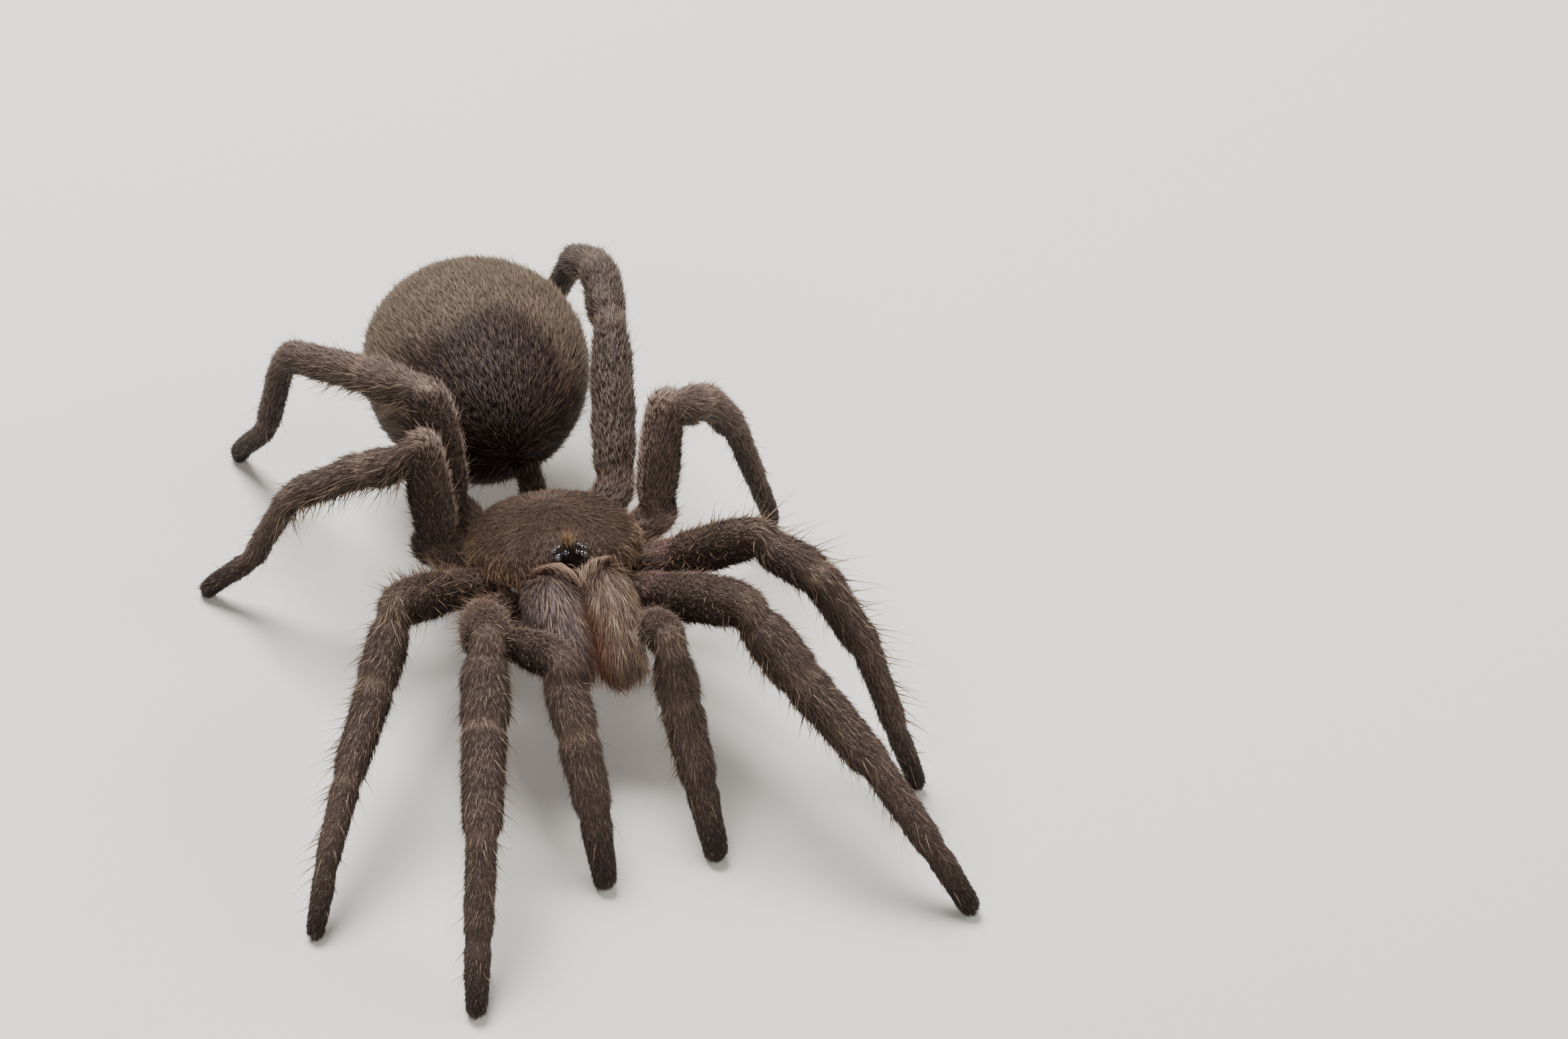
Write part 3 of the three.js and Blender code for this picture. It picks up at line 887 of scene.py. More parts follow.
def carapace_tint(local):
    x, y, _ = local.T
    colour = mix(PAINT["carapace"], PAINT["carapace_edge"], step(edge_share(local), *EDGE_FADE))
    head = step(-y, *HEAD_FADE) * step(HEAD["half_width"] - np.abs(x), 0, HEAD["side_fade"])
    return mix(colour, PAINT["head"], head)


def trunk_tint(region, local):
    if region == "abdomen":
        return abdomen_tint(local)
    if region.startswith("jaw"):
        return jaw_tint(local)
    if region == "carapace":
        return carapace_tint(local)
    return np.tile(PAINT["mound" if region == "tubercle" else "belly"], (len(local), 1))


def tint(places):
    colour = np.zeros((len(places.point), 3))
    for index, region in enumerate(REGIONS):
        here = np.flatnonzero(places.region == index)
        if region in limbs:
            colour[here] = limb_tint(places, here, limbs[region])
        else:
            colour[here] = trunk_tint(region, places.local[here])
    patchy = 1
    for amount, size, seed in PATCHES:
        patchy = patchy + amount * waves(places.local, size, seed)
    return colour * patchy[:, None]


# %% [markdown]
# ## Coat
# Blender has particle hair and hair curves, but neither leaves Blender as a mesh. So a hair here is
# a closed spike with three sides: four triangles for the pile, and more where it has to bend. All
# hairs of one part are written into one mesh at once, as arrays. Each grows from a tuft: its hairs
# start close together and lean towards one tip.

# %% A hair as a spike
COAT_PATCH = 0.003  # width of a tuft on the unwrapped skin
TUFT_HAIRS = 4
CLEAR = 0.04 * MM
SHORTEST = 0.12 * MM
SPIKE_TAPER = 0.6


def spike_template(segments):
    """Triangles of one spike, and each point's place round it and along it."""
    tip = 3 * segments
    faces = [(0, 2, 1)]
    for k in range(segments - 1):
        for j in range(3):
            a, b = 3 * k + j, 3 * k + (j + 1) % 3
            faces += [(a, b, b + 3), (a, b + 3, a + 3)]
    faces += [(tip - 3 + j, tip - 3 + (j + 1) % 3, tip) for j in range(3)]
    around = np.array([j / 3 for _ in range(segments) for j in range(3)] + [0.5])
    along = np.array([k / segments for k in range(segments) for _ in range(3)] + [1.0])
    return np.array(faces), around, along


def joined(*groups):
    return {key: np.concatenate([g[key] for g in groups]) for key in groups[0]}


def chosen(hairs, keep):
    return {key: value[keep] for key, value in hairs.items()}


def kept_in_box(hairs):
    """Shortens hairs that would leave the frame's box or go under the floor."""
    root, reach = hairs["root"], hairs["length"][:, None] * (hairs["out"] + hairs["bend"])
    tip = root + reach
    room = np.where(reach > 0, BOX_HIGH - CLEAR - root, root - BOX_LOW - CLEAR)
    share = np.clip(room / np.maximum(np.abs(tip - root), 1e-9), 0, 1).min(1)
    hairs["length"] = hairs["length"] * share
    return chosen(hairs, hairs["length"] > SHORTEST)


def spike_points(hairs, segments):
    """Corner points of every spike of one layer."""
    points = np.empty((len(hairs["root"]), 3 * segments + 1, 3))
    for k in range(segments):
        f = k / segments
        centre = hairs["root"] + hairs["length"][:, None] * (f * hairs["out"] + f * f * hairs["bend"])
        ahead = unit(hairs["out"] + 2 * f * hairs["bend"])
        u = unit(hairs["cross"] - (hairs["cross"] * ahead).sum(1)[:, None] * ahead)
        v = np.cross(ahead, u)
        thick = (hairs["width"] / 2 * (1 - SPIKE_TAPER * f))[:, None]
        for j in range(3):
            turn = 2 * math.pi * j / 3 + math.pi / 6
            points[:, 3 * k + j] = centre + thick * (math.cos(turn) * u + math.sin(turn) * v)
    points[:, -1] = hairs["root"] + hairs["length"][:, None] * (hairs["out"] + hairs["bend"])
    return np.clip(points, BOX_LOW + CLEAR / 4, BOX_HIGH - CLEAR / 4)


def layer_arrays(hairs, segments, first):
    """One layer's points, triangles, bake places, colours and root-to-tip values."""
    hairs = kept_in_box(hairs)
    faces, around, along = spike_template(segments)
    count, size = len(hairs["root"]), 3 * segments + 1
    index = first + np.arange(count)[:, None, None] * size + faces[None]
    corner = faces.ravel()
    patch = np.empty((count, len(corner), 2))
    beside = hairs["strand"][:, None] + around[corner][None] / TUFT_HAIRS - 0.5
    patch[..., 0] = hairs["unwrap"][:, :1] + COAT_PATCH * beside
    patch[..., 1] = hairs["unwrap"][:, 1:] + COAT_PATCH * (along[corner] - 0.5)
    colour = np.ones((count, size, 4))
    colour[..., :3] = hairs["tint"][:, None]
    return (spike_points(hairs, segments).reshape(-1, 3), index.reshape(-1), patch.reshape(-1, 2),
            colour.reshape(-1, 4), np.tile(along, count))


def hair_mesh(name, layers, material):
    """One mesh of several layers of hair, each given as (hairs, segments)."""
    made, first = [], 0
    for hairs, segments in layers:
        made.append(layer_arrays(hairs, segments, first))
        first += len(made[-1][0])
    points, index, patch, colour, along = (np.concatenate(values) for values in zip(*made))
    mesh = bpy.data.meshes.new(name)
    mesh.vertices.add(len(points))
    mesh.vertices.foreach_set("co", points.astype(np.float32).ravel())
    mesh.loops.add(len(index))
    mesh.loops.foreach_set("vertex_index", index.astype(np.int32))
    mesh.polygons.add(len(index) // 3)
    mesh.polygons.foreach_set("loop_start", np.arange(0, len(index), 3, dtype=np.int32))
    mesh.update(calc_edges=True)
    mesh.uv_layers.new(name="OFBake").data.foreach_set("uv", patch.astype(np.float32).ravel())
    paint = mesh.attributes.new("tint", "FLOAT_COLOR", "POINT")
    paint.data.foreach_set("color", colour.astype(np.float32).ravel())
    place = mesh.attributes.new("along", "FLOAT", "POINT")
    place.data.foreach_set("value", along.astype(np.float32))
    mesh.materials.append(material)
    return mesh


# %% [markdown]
# ### The pile
# Short hairs cover everything. Their length and lift change from part to part: longest on the
# abdomen, shortest on the eye mound and the feet.

# %% Growing hairs
GATHER = 0.5  # how far a tuft's hairs lean back to its middle
SINK = 0.05  # how deep a root sits in the skin, in mm
LIFT_SPREAD = 7
LENGTH_RANGE = (0.7, 1.2)
WIDTH_RANGE = (0.8, 1.2)
HAIR_SHADE = (0.85, 1.15)
TUFT_SHADE = (0.8, 1.22)


def grow(places, per_tuft, length, lift, width, spread=0.0, bend=-0.25, jitter=0.2):
    """Hairs for tufts at these places. Lengths in mm, lift in degrees, per tuft or one for all."""
    count = len(places.point)
    total = count * per_tuft

    def repeat(values):
        values = np.broadcast_to(values, (count,) + np.shape(values)[1:])
        return np.repeat(values, per_tuft, axis=0)

    normal, lie, cross = repeat(places.normal), repeat(places.lie), repeat(places.cross)
    offset = rng.normal(0, spread * MM, (total, 2))
    root = repeat(places.point) + offset[:, :1] * lie + offset[:, 1:] * cross - normal * SINK * MM
    scale = rng.uniform(*LENGTH_RANGE, total)
    long = repeat(length) * MM * scale
    angle = np.radians(repeat(lift) + rng.normal(0, LIFT_SPREAD, total))[:, None]
    sway = rng.normal(0, jitter, total)[:, None]
    pull = -GATHER * offset / np.maximum(long, 1e-6)[:, None]
    out = unit(lie * (np.cos(angle) + pull[:, :1]) + cross * (sway + pull[:, 1:]) + normal * np.sin(angle))
    fall = repeat(bend)[:, None] * normal
    strand = np.tile(np.arange(per_tuft) / per_tuft, count)
    shade = rng.uniform(*HAIR_SHADE, total)
    shade = shade * np.repeat(rng.uniform(*TUFT_SHADE, count), per_tuft)
    return {
        "root": root, "out": out, "bend": fall, "cross": cross, "length": long,
        "width": repeat(width) * MM * rng.uniform(*WIDTH_RANGE, total), "strand": strand,
        "unwrap": repeat(places.unwrap), "tint": repeat(tint(places)) * shade[:, None],
        "region": repeat(places.region),
    }


def places_on_skin(count, weight=None):
    return Places(*scatter(skin_co, skin_tri, count, weight))


# %% The pile
# Length in mm and lift in degrees on each part of the trunk, and how both fall off along a limb.
PILE_TRUNK = {
    "carapace": (0.95, 22), "abdomen": (1.15, 27), "jaw_r": (1.0, 16), "jaw_l": (1.0, 16),
    "tubercle": (0.35, 45), "belly": (0.8, 22), "spinneret": (0.6, 22),
}
PILE_LIMB = {"length": 1.05, "loss": 0.45, "loss_from": 0.5, "lift": 26, "drop": 4}
DROP_FROM = 0.6
PILE_STYLE = {"width": 0.062, "spread": 0.1, "bend": -0.14}
TUFTS_PER_MM2 = 10.2
skin_area = triangle_areas(skin_co, skin_tri).sum() / MM**2


def coat_by_part(places, trunk, limb):
    """Length and lift of one kind of hair at each place. Parts in neither table get none."""
    length = np.zeros(len(places.point))
    lift = np.zeros(len(places.point))
    for index, region in enumerate(REGIONS):
        here = places.region == index
        if region in limbs:
            share = places.share[here]
            length[here] = limb["length"] - limb["loss"] * step(share, limb["loss_from"], 1.0)
            lift[here] = limb["lift"] - limb["drop"] * step(share, DROP_FROM, 1.0)
        elif region in trunk:
            length[here], lift[here] = trunk[region]
    return length, lift


print("skin area", round(skin_area), "mm2")
pile_places = places_on_skin(int(skin_area * TUFTS_PER_MM2))
pile_lengths, pile_lifts = coat_by_part(pile_places, PILE_TRUNK, PILE_LIMB)
pile = grow(pile_places, TUFT_HAIRS, pile_lengths, pile_lifts, **PILE_STYLE)
print("pile:", len(pile["root"]), "hairs")

# %% [markdown]
# ### Longer hairs
# Over the pile stand single longer hairs. They are what softens the outline of a leg. A third kind,
# long and pale, stands well away from the knees and from the flanks of the walking legs.

# %% Guard hairs
GUARD_PER_MM2 = 2.6
GUARD_TRUNK = {"carapace": (1.1, 24), "abdomen": (1.9, 32), "belly": (1.3, 30), "spinneret": (0.9, 30)}
GUARD_LIMB = {"length": 1.6, "loss": 0.9, "loss_from": 0.55, "lift": 30, "drop": 10}
GUARD_BELOW = {"more": 10, "full_at": 0.8}  # under a limb they stand up further
GUARD_STYLE = {"width": 0.065, "bend": -0.15, "jitter": 0.18}
GUARD_PALE = 0.16
GUARD_SHORTEST = 0.3 * MM


def paler(hairs, tone, amount):
    """Mixes a tone into the hairs' own colours, by one amount for each hair."""
    hairs["tint"] = mix(hairs["tint"], PAINT[tone], amount)
    return hairs


def guard_hairs():
    places = places_on_skin(int(skin_area * GUARD_PER_MM2))
    length, lift = coat_by_part(places, GUARD_TRUNK, GUARD_LIMB)
    on_limb = places.region < len(LIMBS)
    below = step(-places.top[on_limb], 0, GUARD_BELOW["full_at"])
    lift[on_limb] += GUARD_BELOW["more"] * below
    hairs = paler(grow(places, 1, length, lift, **GUARD_STYLE), "straw", np.full(len(length), GUARD_PALE))
    return chosen(hairs, hairs["length"] > GUARD_SHORTEST)


guard = guard_hairs()
print("guard hairs:", len(guard["root"]))

# %% Long pale bristles
# Where they stand: limb, from and to as a share of its length, the side they face as (top, front),
# how narrow that side is, how many, length in mm and lift in degrees.
BRISTLES = [(name, 0.1, 0.97, (0.0, 0.0), 0.0, 120, 2.0, 44) for name in LIMBS if name.startswith("leg")]
BRISTLES += [(name, 0.1, 0.9, (0.0, 0.0), 0.0, 50, 2.0, 42) for name in ("palp_r", "palp_l")]
BRISTLES += [
    ("leg3_r", 0.36, 0.74, (-0.8, -0.5), 1.2, 120, 3.0, 54),
    ("leg4_r", 0.30, 0.6, (-0.7, -0.5), 1.2, 80, 2.6, 50),
    ("leg2_r", 0.05, 0.42, (0.8, 0.3), 0.8, 130, 2.6, 58),
    ("leg2_r", 0.4, 0.9, (0.0, 0.9), 1.0, 90, 2.8, 50),
    ("leg1_r", 0.05, 0.34, (0.6, 0.5), 0.8, 70, 2.2, 55),
    ("leg1_r", 0.35, 0.8, (0.0, -0.9), 1.0, 50, 2.2, 50),
    ("leg1_l", 0.35, 0.8, (-0.8, 0.4), 1.0, 110, 2.6, 48),
    ("leg2_l", 0.35, 0.95, (0.2, -0.9), 1.2, 120, 4.0, 56),
    ("leg2_l", 0.1, 0.4, (0.7, 0.5), 0.9, 90, 2.5, 54),
    ("palp_l", 0.35, 0.8, (-0.5, 0.7), 1.0, 70, 1.9, 48),
]
BRISTLE_REACH = 1.3
BRISTLE_WIDTH = {"loose": 0.1, "tuft": 0.13}
BRISTLE_LIFT_SPREAD = 8
BRISTLE_PALE = (0.05, 0.55)
SIDE_FOCUS = 2.5
STRAND_POINTS = 6


def path_in_box(paths):
    return np.clip(paths, BOX_LOW + 3 * CLEAR, BOX_HIGH - 3 * CLEAR)


def strand_paths(hairs):
    """Points along each hair, from its root to its tip, kept inside the frame's box."""
    f = np.linspace(0, 1, STRAND_POINTS)[None, :, None]
    out, bend = hairs["out"][:, None], hairs["bend"][:, None]
    return path_in_box(hairs["root"][:, None] + hairs["length"][:, None, None] * (f * out + f * f * bend))


def bristles():
    groups = []
    for name, start, end, (top, front), narrow, count, length, lift in BRISTLES:
        facing = skin_places.top * top + skin_places.front * front
        on_limb = skin_places.region == REGIONS.index(name)
        weight = on_limb & (skin_places.share > start) & (skin_places.share < end)
        weight = weight * np.exp(narrow * SIDE_FOCUS * (facing - 1))
        found = places_on_skin(count, weight[skin_tri].mean(1))
        width = BRISTLE_WIDTH["tuft" if narrow else "loose"]
        lifts = lift + rng.normal(0, BRISTLE_LIFT_SPREAD, count)
        hairs = grow(found, 1, length * BRISTLE_REACH, lifts, width, bend=-0.22)
        groups.append(paler(hairs, "straw", rng.uniform(*BRISTLE_PALE, count)))
    return joined(*groups)


leg_bristles = bristles()
print("leg bristles:", len(leg_bristles["root"]))

# %% [markdown]
# Where the legs leave the trunk, longer hair hides the seam: a loose fringe along the carapace's
# rim, and reddish hair on the legs' roots. It could be combed by hand, but here the same places and
# the same growing are used, with a weight that is above zero only where this hair belongs.

# %% Hair of the rim and of the legs' roots
RIM = {"count": 420, "from": 0.82, "behind": -6.5, "length": (1.3, 2.2), "lift": 24}
RIM_STYLE = {"width": 0.09, "bend": -0.2, "jitter": 0.25}
ROOT_HAIR = {"count": 420, "to": 0.16, "length": (1.4, 2.4), "lift": 46}
ROOT_TOP = (-0.3, 0.5)
ROOT_STYLE = {"width": 0.09, "bend": -0.25, "jitter": 0.3}
SEAM_PALE = (0.1, 0.6)


def rim_hairs():
    local = in_body(skin_co)
    wanted = (edge_share(local) > RIM["from"]) & (local[:, 1] > RIM["behind"])
    weight = (wanted & (skin_region == REGIONS.index("carapace"))).astype(float)
    found = places_on_skin(RIM["count"], weight[skin_tri].mean(1))
    hairs = grow(found, 1, rng.uniform(*RIM["length"], RIM["count"]), RIM["lift"], **RIM_STYLE)
    return paler(hairs, "straw", rng.uniform(*SEAM_PALE, RIM["count"]))


def root_hairs():
    count = ROOT_HAIR["count"]
    limb = skin_region < len(LIMBS)
    weight = limb * (skin_places.share < ROOT_HAIR["to"]) * step(skin_places.top, *ROOT_TOP)
    found = places_on_skin(count, weight[skin_tri].mean(1))
    hairs = grow(found, 1, rng.uniform(*ROOT_HAIR["length"], count), ROOT_HAIR["lift"], **ROOT_STYLE)
    return paler(hairs, "orange", rng.uniform(*SEAM_PALE, count))


bristle = kept_in_box(joined(leg_bristles, rim_hairs(), root_hairs()))
print("bristles:", len(bristle["root"]))

# %% [markdown]
# ### The face
# The jaws carry the longest combed hair of all, silvery on one side and warm on the other where the
# light runs through it, and a fringe of curved bristles hangs over their tops from the brow. The
# fringe has to follow the jaws' round tops, so each bristle is walked step by step: it turns from
# forwards to down and inwards, and is pushed out again wherever it would sink into the skin.

# %% Jaw hair
JAW_HAIR = {"count": 8500, "length": 1.5, "longer": 1.3, "lift": 12, "raised": 16}
JAW_STYLE = {"width": 0.07, "bend": -0.1, "jitter": 0.12}
JAW_OUTWARD = [0, -0.7, 0.7]  # hair that faces this way is the longest
JAW_SEAM = {"at": 0.1, "width": 0.9}
JAW_PALE = {"share": 0.25, "amount": 0.35}
JAW_END = {"count": 500, "below": -0.5, "depth": 3, "length": 2.4, "lift": 26, "red": (0.1, 0.6)}
JAW_END_STYLE = {"width": 0.07, "bend": -0.15}


def region_weight(*names):
    wanted = [REGIONS.index(n) for n in names]
    return np.isin(skin_region, wanted)[skin_tri].mean(1)


def jaw_hairs():
    places = places_on_skin(JAW_HAIR["count"], region_weight("jaw_r", "jaw_l"))
    facing = np.clip(places.normal @ from_body_direction(JAW_OUTWARD), 0, 1)
    length = JAW_HAIR["length"] + JAW_HAIR["longer"] * facing
    beside = hill(places.local[:, 0], JAW_SEAM["at"], JAW_SEAM["width"])
    hairs = grow(places, 1, length, JAW_HAIR["lift"] + JAW_HAIR["raised"] * beside, **JAW_STYLE)
    pale = rng.random(len(length)) < JAW_PALE["share"]
    return paler(hairs, "straw", JAW_PALE["amount"] * pale)


def jaw_end_hairs():
    """A loose, dark reddish fringe round the lower ends of the jaws."""
    low = np.clip(JAW_END["below"] - in_body(skin_co)[:, 2], 0, JAW_END["depth"])
    weight = region_weight("jaw_r", "jaw_l") * low[skin_tri].mean(1)
    places = places_on_skin(JAW_END["count"], weight)
    hairs = grow(places, 1, JAW_END["length"], JAW_END["lift"], **JAW_END_STYLE)
    return paler(hairs, "jaw_cleft", rng.uniform(*JAW_END["red"], JAW_END["count"]))


jaw_hair = jaw_hairs()
jaw_end = jaw_end_hairs()
print("jaw hairs:", len(jaw_hair["root"]), "and at the jaws' ends:", len(jaw_end["root"]))

# %% Brow fringe
FRINGE = {
    "count": 230, "half_width": 5.6, "middle": 0.4, "height": 5.6, "drop": 0.06, "front": -9.0,
    "uneven": 0.2, "dip": 1.1, "dip_width": 1.6, "length": (3.6, 4.9), "lift": 60, "width": 0.1,
}
FRINGE_POINTS = 9
RISE_STEPS = 3  # a bristle reaches its full clearance over this many steps
FRINGE_INWARD = {"least": 0.2, "more": 0.5, "stray": 0.08, "at_root": 0.2}
FRINGE_START = (-1.0, 1.1)  # forwards and up at the root
FRINGE_END = (-0.8, -0.8)  # forwards and down at the tip
FRINGE_CLEAR = (0.75, 1.05)
FRINGE_PALE = 0.6
FRINGE_SHADE = (0.4, 0.95)
skin_tree = BVHTree.FromPolygons([Vector(p) for p in skin_co], skin_tri.tolist())


def nearest_skin(points, *names):
    """The skin point of the named regions nearest to each given point."""
    wanted = np.flatnonzero(np.isin(skin_region, [REGIONS.index(n) for n in names]))
    tree = KDTree(len(wanted))
    for i in wanted:
        tree.insert(skin_co[i], int(i))
    tree.balance()
    return np.array([tree.find(p)[1] for p in points])


def subset(places, index):
    picked = object.__new__(Places)
    for key, value in vars(places).items():
        setattr(picked, key, value[index])
    return picked


def walked(root, steps, length, clearance):
    """A path from root through the given step directions that stays clear of the skin."""
    path = [Vector(root)]
    for k, direction in enumerate(steps):
        point = path[-1] + Vector(direction) * (length / len(steps))
        near, normal, _, _ = skin_tree.find_nearest(point)
        depth = (point - near).dot(normal)
        wanted = clearance * min(1, (k + 1) / RISE_STEPS)
        if depth < wanted:
            point += normal * (wanted - depth)
        path.append(point)
    return path


def fringe_hairs():
    count = FRINGE["count"]
    across = rng.uniform(-1, 1, count)
    x = FRINGE["middle"] + FRINGE["half_width"] * across
    z = FRINGE["height"] - FRINGE["drop"] * (x - FRINGE["middle"]) ** 2
    z = z + rng.normal(0, FRINGE["uneven"], count)
    z -= FRINGE["dip"] * hill(x, 0, FRINGE["dip_width"])
    brow = from_body(np.stack([x, np.full(count, FRINGE["front"]), z], 1))
    roots = subset(skin_places, nearest_skin(brow, "carapace"))
    hairs = grow(roots, 1, rng.uniform(*FRINGE["length"], count), FRINGE["lift"], FRINGE["width"])
    paths = []
    for i in range(count):
        inward = FRINGE_INWARD["least"] + FRINGE_INWARD["more"] * abs(across[i])
        inward = -np.sign(across[i]) * inward + rng.normal(0, FRINGE_INWARD["stray"])
        first = np.array([inward * FRINGE_INWARD["at_root"], *FRINGE_START])
        last = np.array([inward, *FRINGE_END])
        turns = np.linspace(0.0, 1, FRINGE_POINTS - 1)
        steps = from_body_direction([unit(mix(first, last, np.array(t))) for t in turns])
        clearance = rng.uniform(*FRINGE_CLEAR) * MM
        paths.append(walked(hairs["root"][i], steps, hairs["length"][i], clearance))
    tone = mix(PAINT["lash"], PAINT["straw"], rng.random(count) * FRINGE_PALE)
    hairs["tint"] = tone * rng.uniform(*FRINGE_SHADE, count)[:, None]
    return hairs, np.array([[list(p) for p in path] for path in paths])


fringe, fringe_paths = fringe_hairs()
print("brow fringe:", len(fringe_paths))

# %% Tuft between the eyes
EYE_TUFT = {
    "count": 120, "middle": -0.1, "spread": 0.24, "rows": (-8.1, -6.0), "above": 7.0,
    "length": (1.3, 2.7), "lift": 60, "width": 0.085, "shade": (0.4, 1.1),
}
TUFT_LEAN = {"aside": 0.4, "forward": -0.2, "stray": 0.13}
TUFT_BEND = [0, -0.25, 0]


def eye_tuft():
    count = EYE_TUFT["count"]
    x = rng.normal(EYE_TUFT["middle"], EYE_TUFT["spread"], count)
    y = rng.uniform(*EYE_TUFT["rows"], count)
    above = from_body(np.stack([x, y, np.full(count, EYE_TUFT["above"])], 1))
    roots = subset(skin_places, nearest_skin(above, "carapace", "tubercle"))
    hairs = grow(roots, 1, rng.uniform(*EYE_TUFT["length"], count), EYE_TUFT["lift"], EYE_TUFT["width"])
    out = np.stack([x * TUFT_LEAN["aside"], np.full(count, TUFT_LEAN["forward"]), np.ones(count)], 1)
    out = out + rng.normal(0, TUFT_LEAN["stray"], (count, 3))
    hairs["out"] = from_body_direction(unit(out))
    hairs["bend"] = from_body_direction(np.tile(TUFT_BEND, (count, 1)))
    hairs["tint"] = PAINT["straw"] * rng.uniform(*EYE_TUFT["shade"], count)[:, None]
    return hairs


tuft = eye_tuft()
print("eye tuft:", len(tuft["root"]))

# %% [markdown]
# ## Finishes
# The coat's finish is shared: a group takes the colour stored on the mesh, darkens it towards the
# root, lets it vary from place to place, and gives a roughness that varies with it.

# %% Shader group for the coat
def group_socket(group, name, direction, kind, value=None):
    socket = group.interface.new_socket(name=name, in_out=direction, socket_type=kind)
    if value is not None:
        socket.default_value = value
    return socket


def shader_node(tree, kind, values=None, **settings):
    """A node of the given kind, with its settings made and values put on its inputs."""
    node = tree.nodes.new("ShaderNode" + kind)
    for key, value in settings.items():
        setattr(node, key, value)
    for key, value in (values or {}).items():
        node.inputs[key].default_value = value
    return node


COAT_INPUTS = {
    "Along": 0.5, "Root Shade": 0.45, "Tip Shade": 1.3, "Patch Size": 0.0012, "Patch Amount": 0.25,
}


def make_coat_group():
    group = bpy.data.node_groups.new("coat_colour", "ShaderNodeTree")
    group_socket(group, "Tint", "INPUT", "NodeSocketColor", (0.2, 0.16, 0.13, 1))
    for name, value in COAT_INPUTS.items():
        group_socket(group, name, "INPUT", "NodeSocketFloat", value)
    group_socket(group, "Colour", "OUTPUT", "NodeSocketColor")
    group_socket(group, "Roughness", "OUTPUT", "NodeSocketFloat")
    link = group.links.new
    source, sink = group.nodes.new("NodeGroupInput"), group.nodes.new("NodeGroupOutput")
    # A noise whose grain has the patch size.
    place = shader_node(group, "TexCoord")
    scale = shader_node(group, "Math", {0: 1.0}, operation="DIVIDE")
    noise = shader_node(group, "TexNoise", {"Detail": 3.0})
    link(source.outputs["Patch Size"], scale.inputs[1])
    link(place.outputs["Object"], noise.inputs["Vector"])
    link(scale.outputs[0], noise.inputs["Scale"])
    # Shade: from root to tip, times 1 plus or minus the patches.
    ramp = shader_node(group, "MapRange")
    centred = shader_node(group, "Math", {1: 0.5}, operation="SUBTRACT")
    uneven = shader_node(group, "Math", {2: 1.0}, operation="MULTIPLY_ADD")
    shade = shader_node(group, "Math", operation="MULTIPLY")
    scaled = shader_node(group, "VectorMath", operation="SCALE")
    link(source.outputs["Along"], ramp.inputs["Value"])
    link(source.outputs["Root Shade"], ramp.inputs["To Min"])
    link(source.outputs["Tip Shade"], ramp.inputs["To Max"])
    link(noise.outputs["Fac"], centred.inputs[0])
    link(centred.outputs[0], uneven.inputs[0])
    link(source.outputs["Patch Amount"], uneven.inputs[1])
    link(ramp.outputs["Result"], shade.inputs[0])
    link(uneven.outputs[0], shade.inputs[1])
    link(source.outputs["Tint"], scaled.inputs[0])
    link(shade.outputs[0], scaled.inputs["Scale"])
    link(scaled.outputs["Vector"], sink.inputs["Colour"])
    # Roughness varies with the same noise.
    rough = shader_node(group, "MapRange", {"To Min": 0.5, "To Max": 0.75})
    link(noise.outputs["Fac"], rough.inputs["Value"])
    link(rough.outputs["Result"], sink.inputs["Roughness"])
    return group


coat_group = make_coat_group()
print("coat group:", len(coat_group.nodes), "nodes")

# %% [markdown]
# Three finishes use the group: the fur, the long bristles, and the skin under them, which hardly
# shines, has a fine grain, and is painted dark, partly its own dark tone and partly painted shade
# between the hairs. The grain could be modelled, but it is finer than the fur over it, so a bump
# from a small noise is enough.

# %% Coat, bristle and skin finishes
SKIN_GRAIN = 0.25 * MM
SKIN_BUMP = 0.06 * MM
PATCH_SIZE = 1.2
PATCH_AMOUNT = 0.3


def coat_material(name, root_shade, tip_shade, specular, hair=True):
    material = bpy.data.materials.new(name)
    material.use_nodes = True
    tree = material.node_tree
    shader = tree.nodes["Principled BSDF"]
    colour = tree.nodes.new("ShaderNodeGroup")
    colour.node_tree = coat_group
    values = {
        "Root Shade": root_shade, "Tip Shade": tip_shade,
        "Patch Size": PATCH_SIZE * MM, "Patch Amount": PATCH_AMOUNT,
    }
    for key, value in values.items():
        colour.inputs[key].default_value = value
    stored = shader_node(tree, "Attribute", attribute_name="tint")
    tree.links.new(stored.outputs["Color"], colour.inputs["Tint"])
    if hair:
        along = shader_node(tree, "Attribute", attribute_name="along")
        tree.links.new(along.outputs["Fac"], colour.inputs["Along"])
    tree.links.new(colour.outputs["Colour"], shader.inputs["Base Color"])
    tree.links.new(colour.outputs["Roughness"], shader.inputs["Roughness"])
    shader.inputs["Specular IOR Level"].default_value = specular
    return material


def add_grain(material):
    """A fine bump over the whole surface."""
    tree = material.node_tree
    noise = shader_node(tree, "TexNoise", {"Scale": 1 / SKIN_GRAIN})
    place = shader_node(tree, "TexCoord")
    bump = shader_node(tree, "Bump", {"Distance": SKIN_BUMP})
    tree.links.new(place.outputs["Object"], noise.inputs["Vector"])
    tree.links.new(noise.outputs["Fac"], bump.inputs["Height"])
    tree.links.new(bump.outputs["Normal"], tree.nodes["Principled BSDF"].inputs["Normal"])


coat_finish = coat_material("coat_hair", 0.5, 1.35, 0.4)
bristle_finish = coat_material("bristle_hair", 0.6, 1.25, 0.4)
# The skin is darkened to about a third: its own dark tone and painted shade between the hairs.
skin_finish = coat_material("skin_cuticle", 0.36, 0.36, 0.08, hair=False)
add_grain(skin_finish)
print("finishes:", coat_finish.name, bristle_finish.name, skin_finish.name)

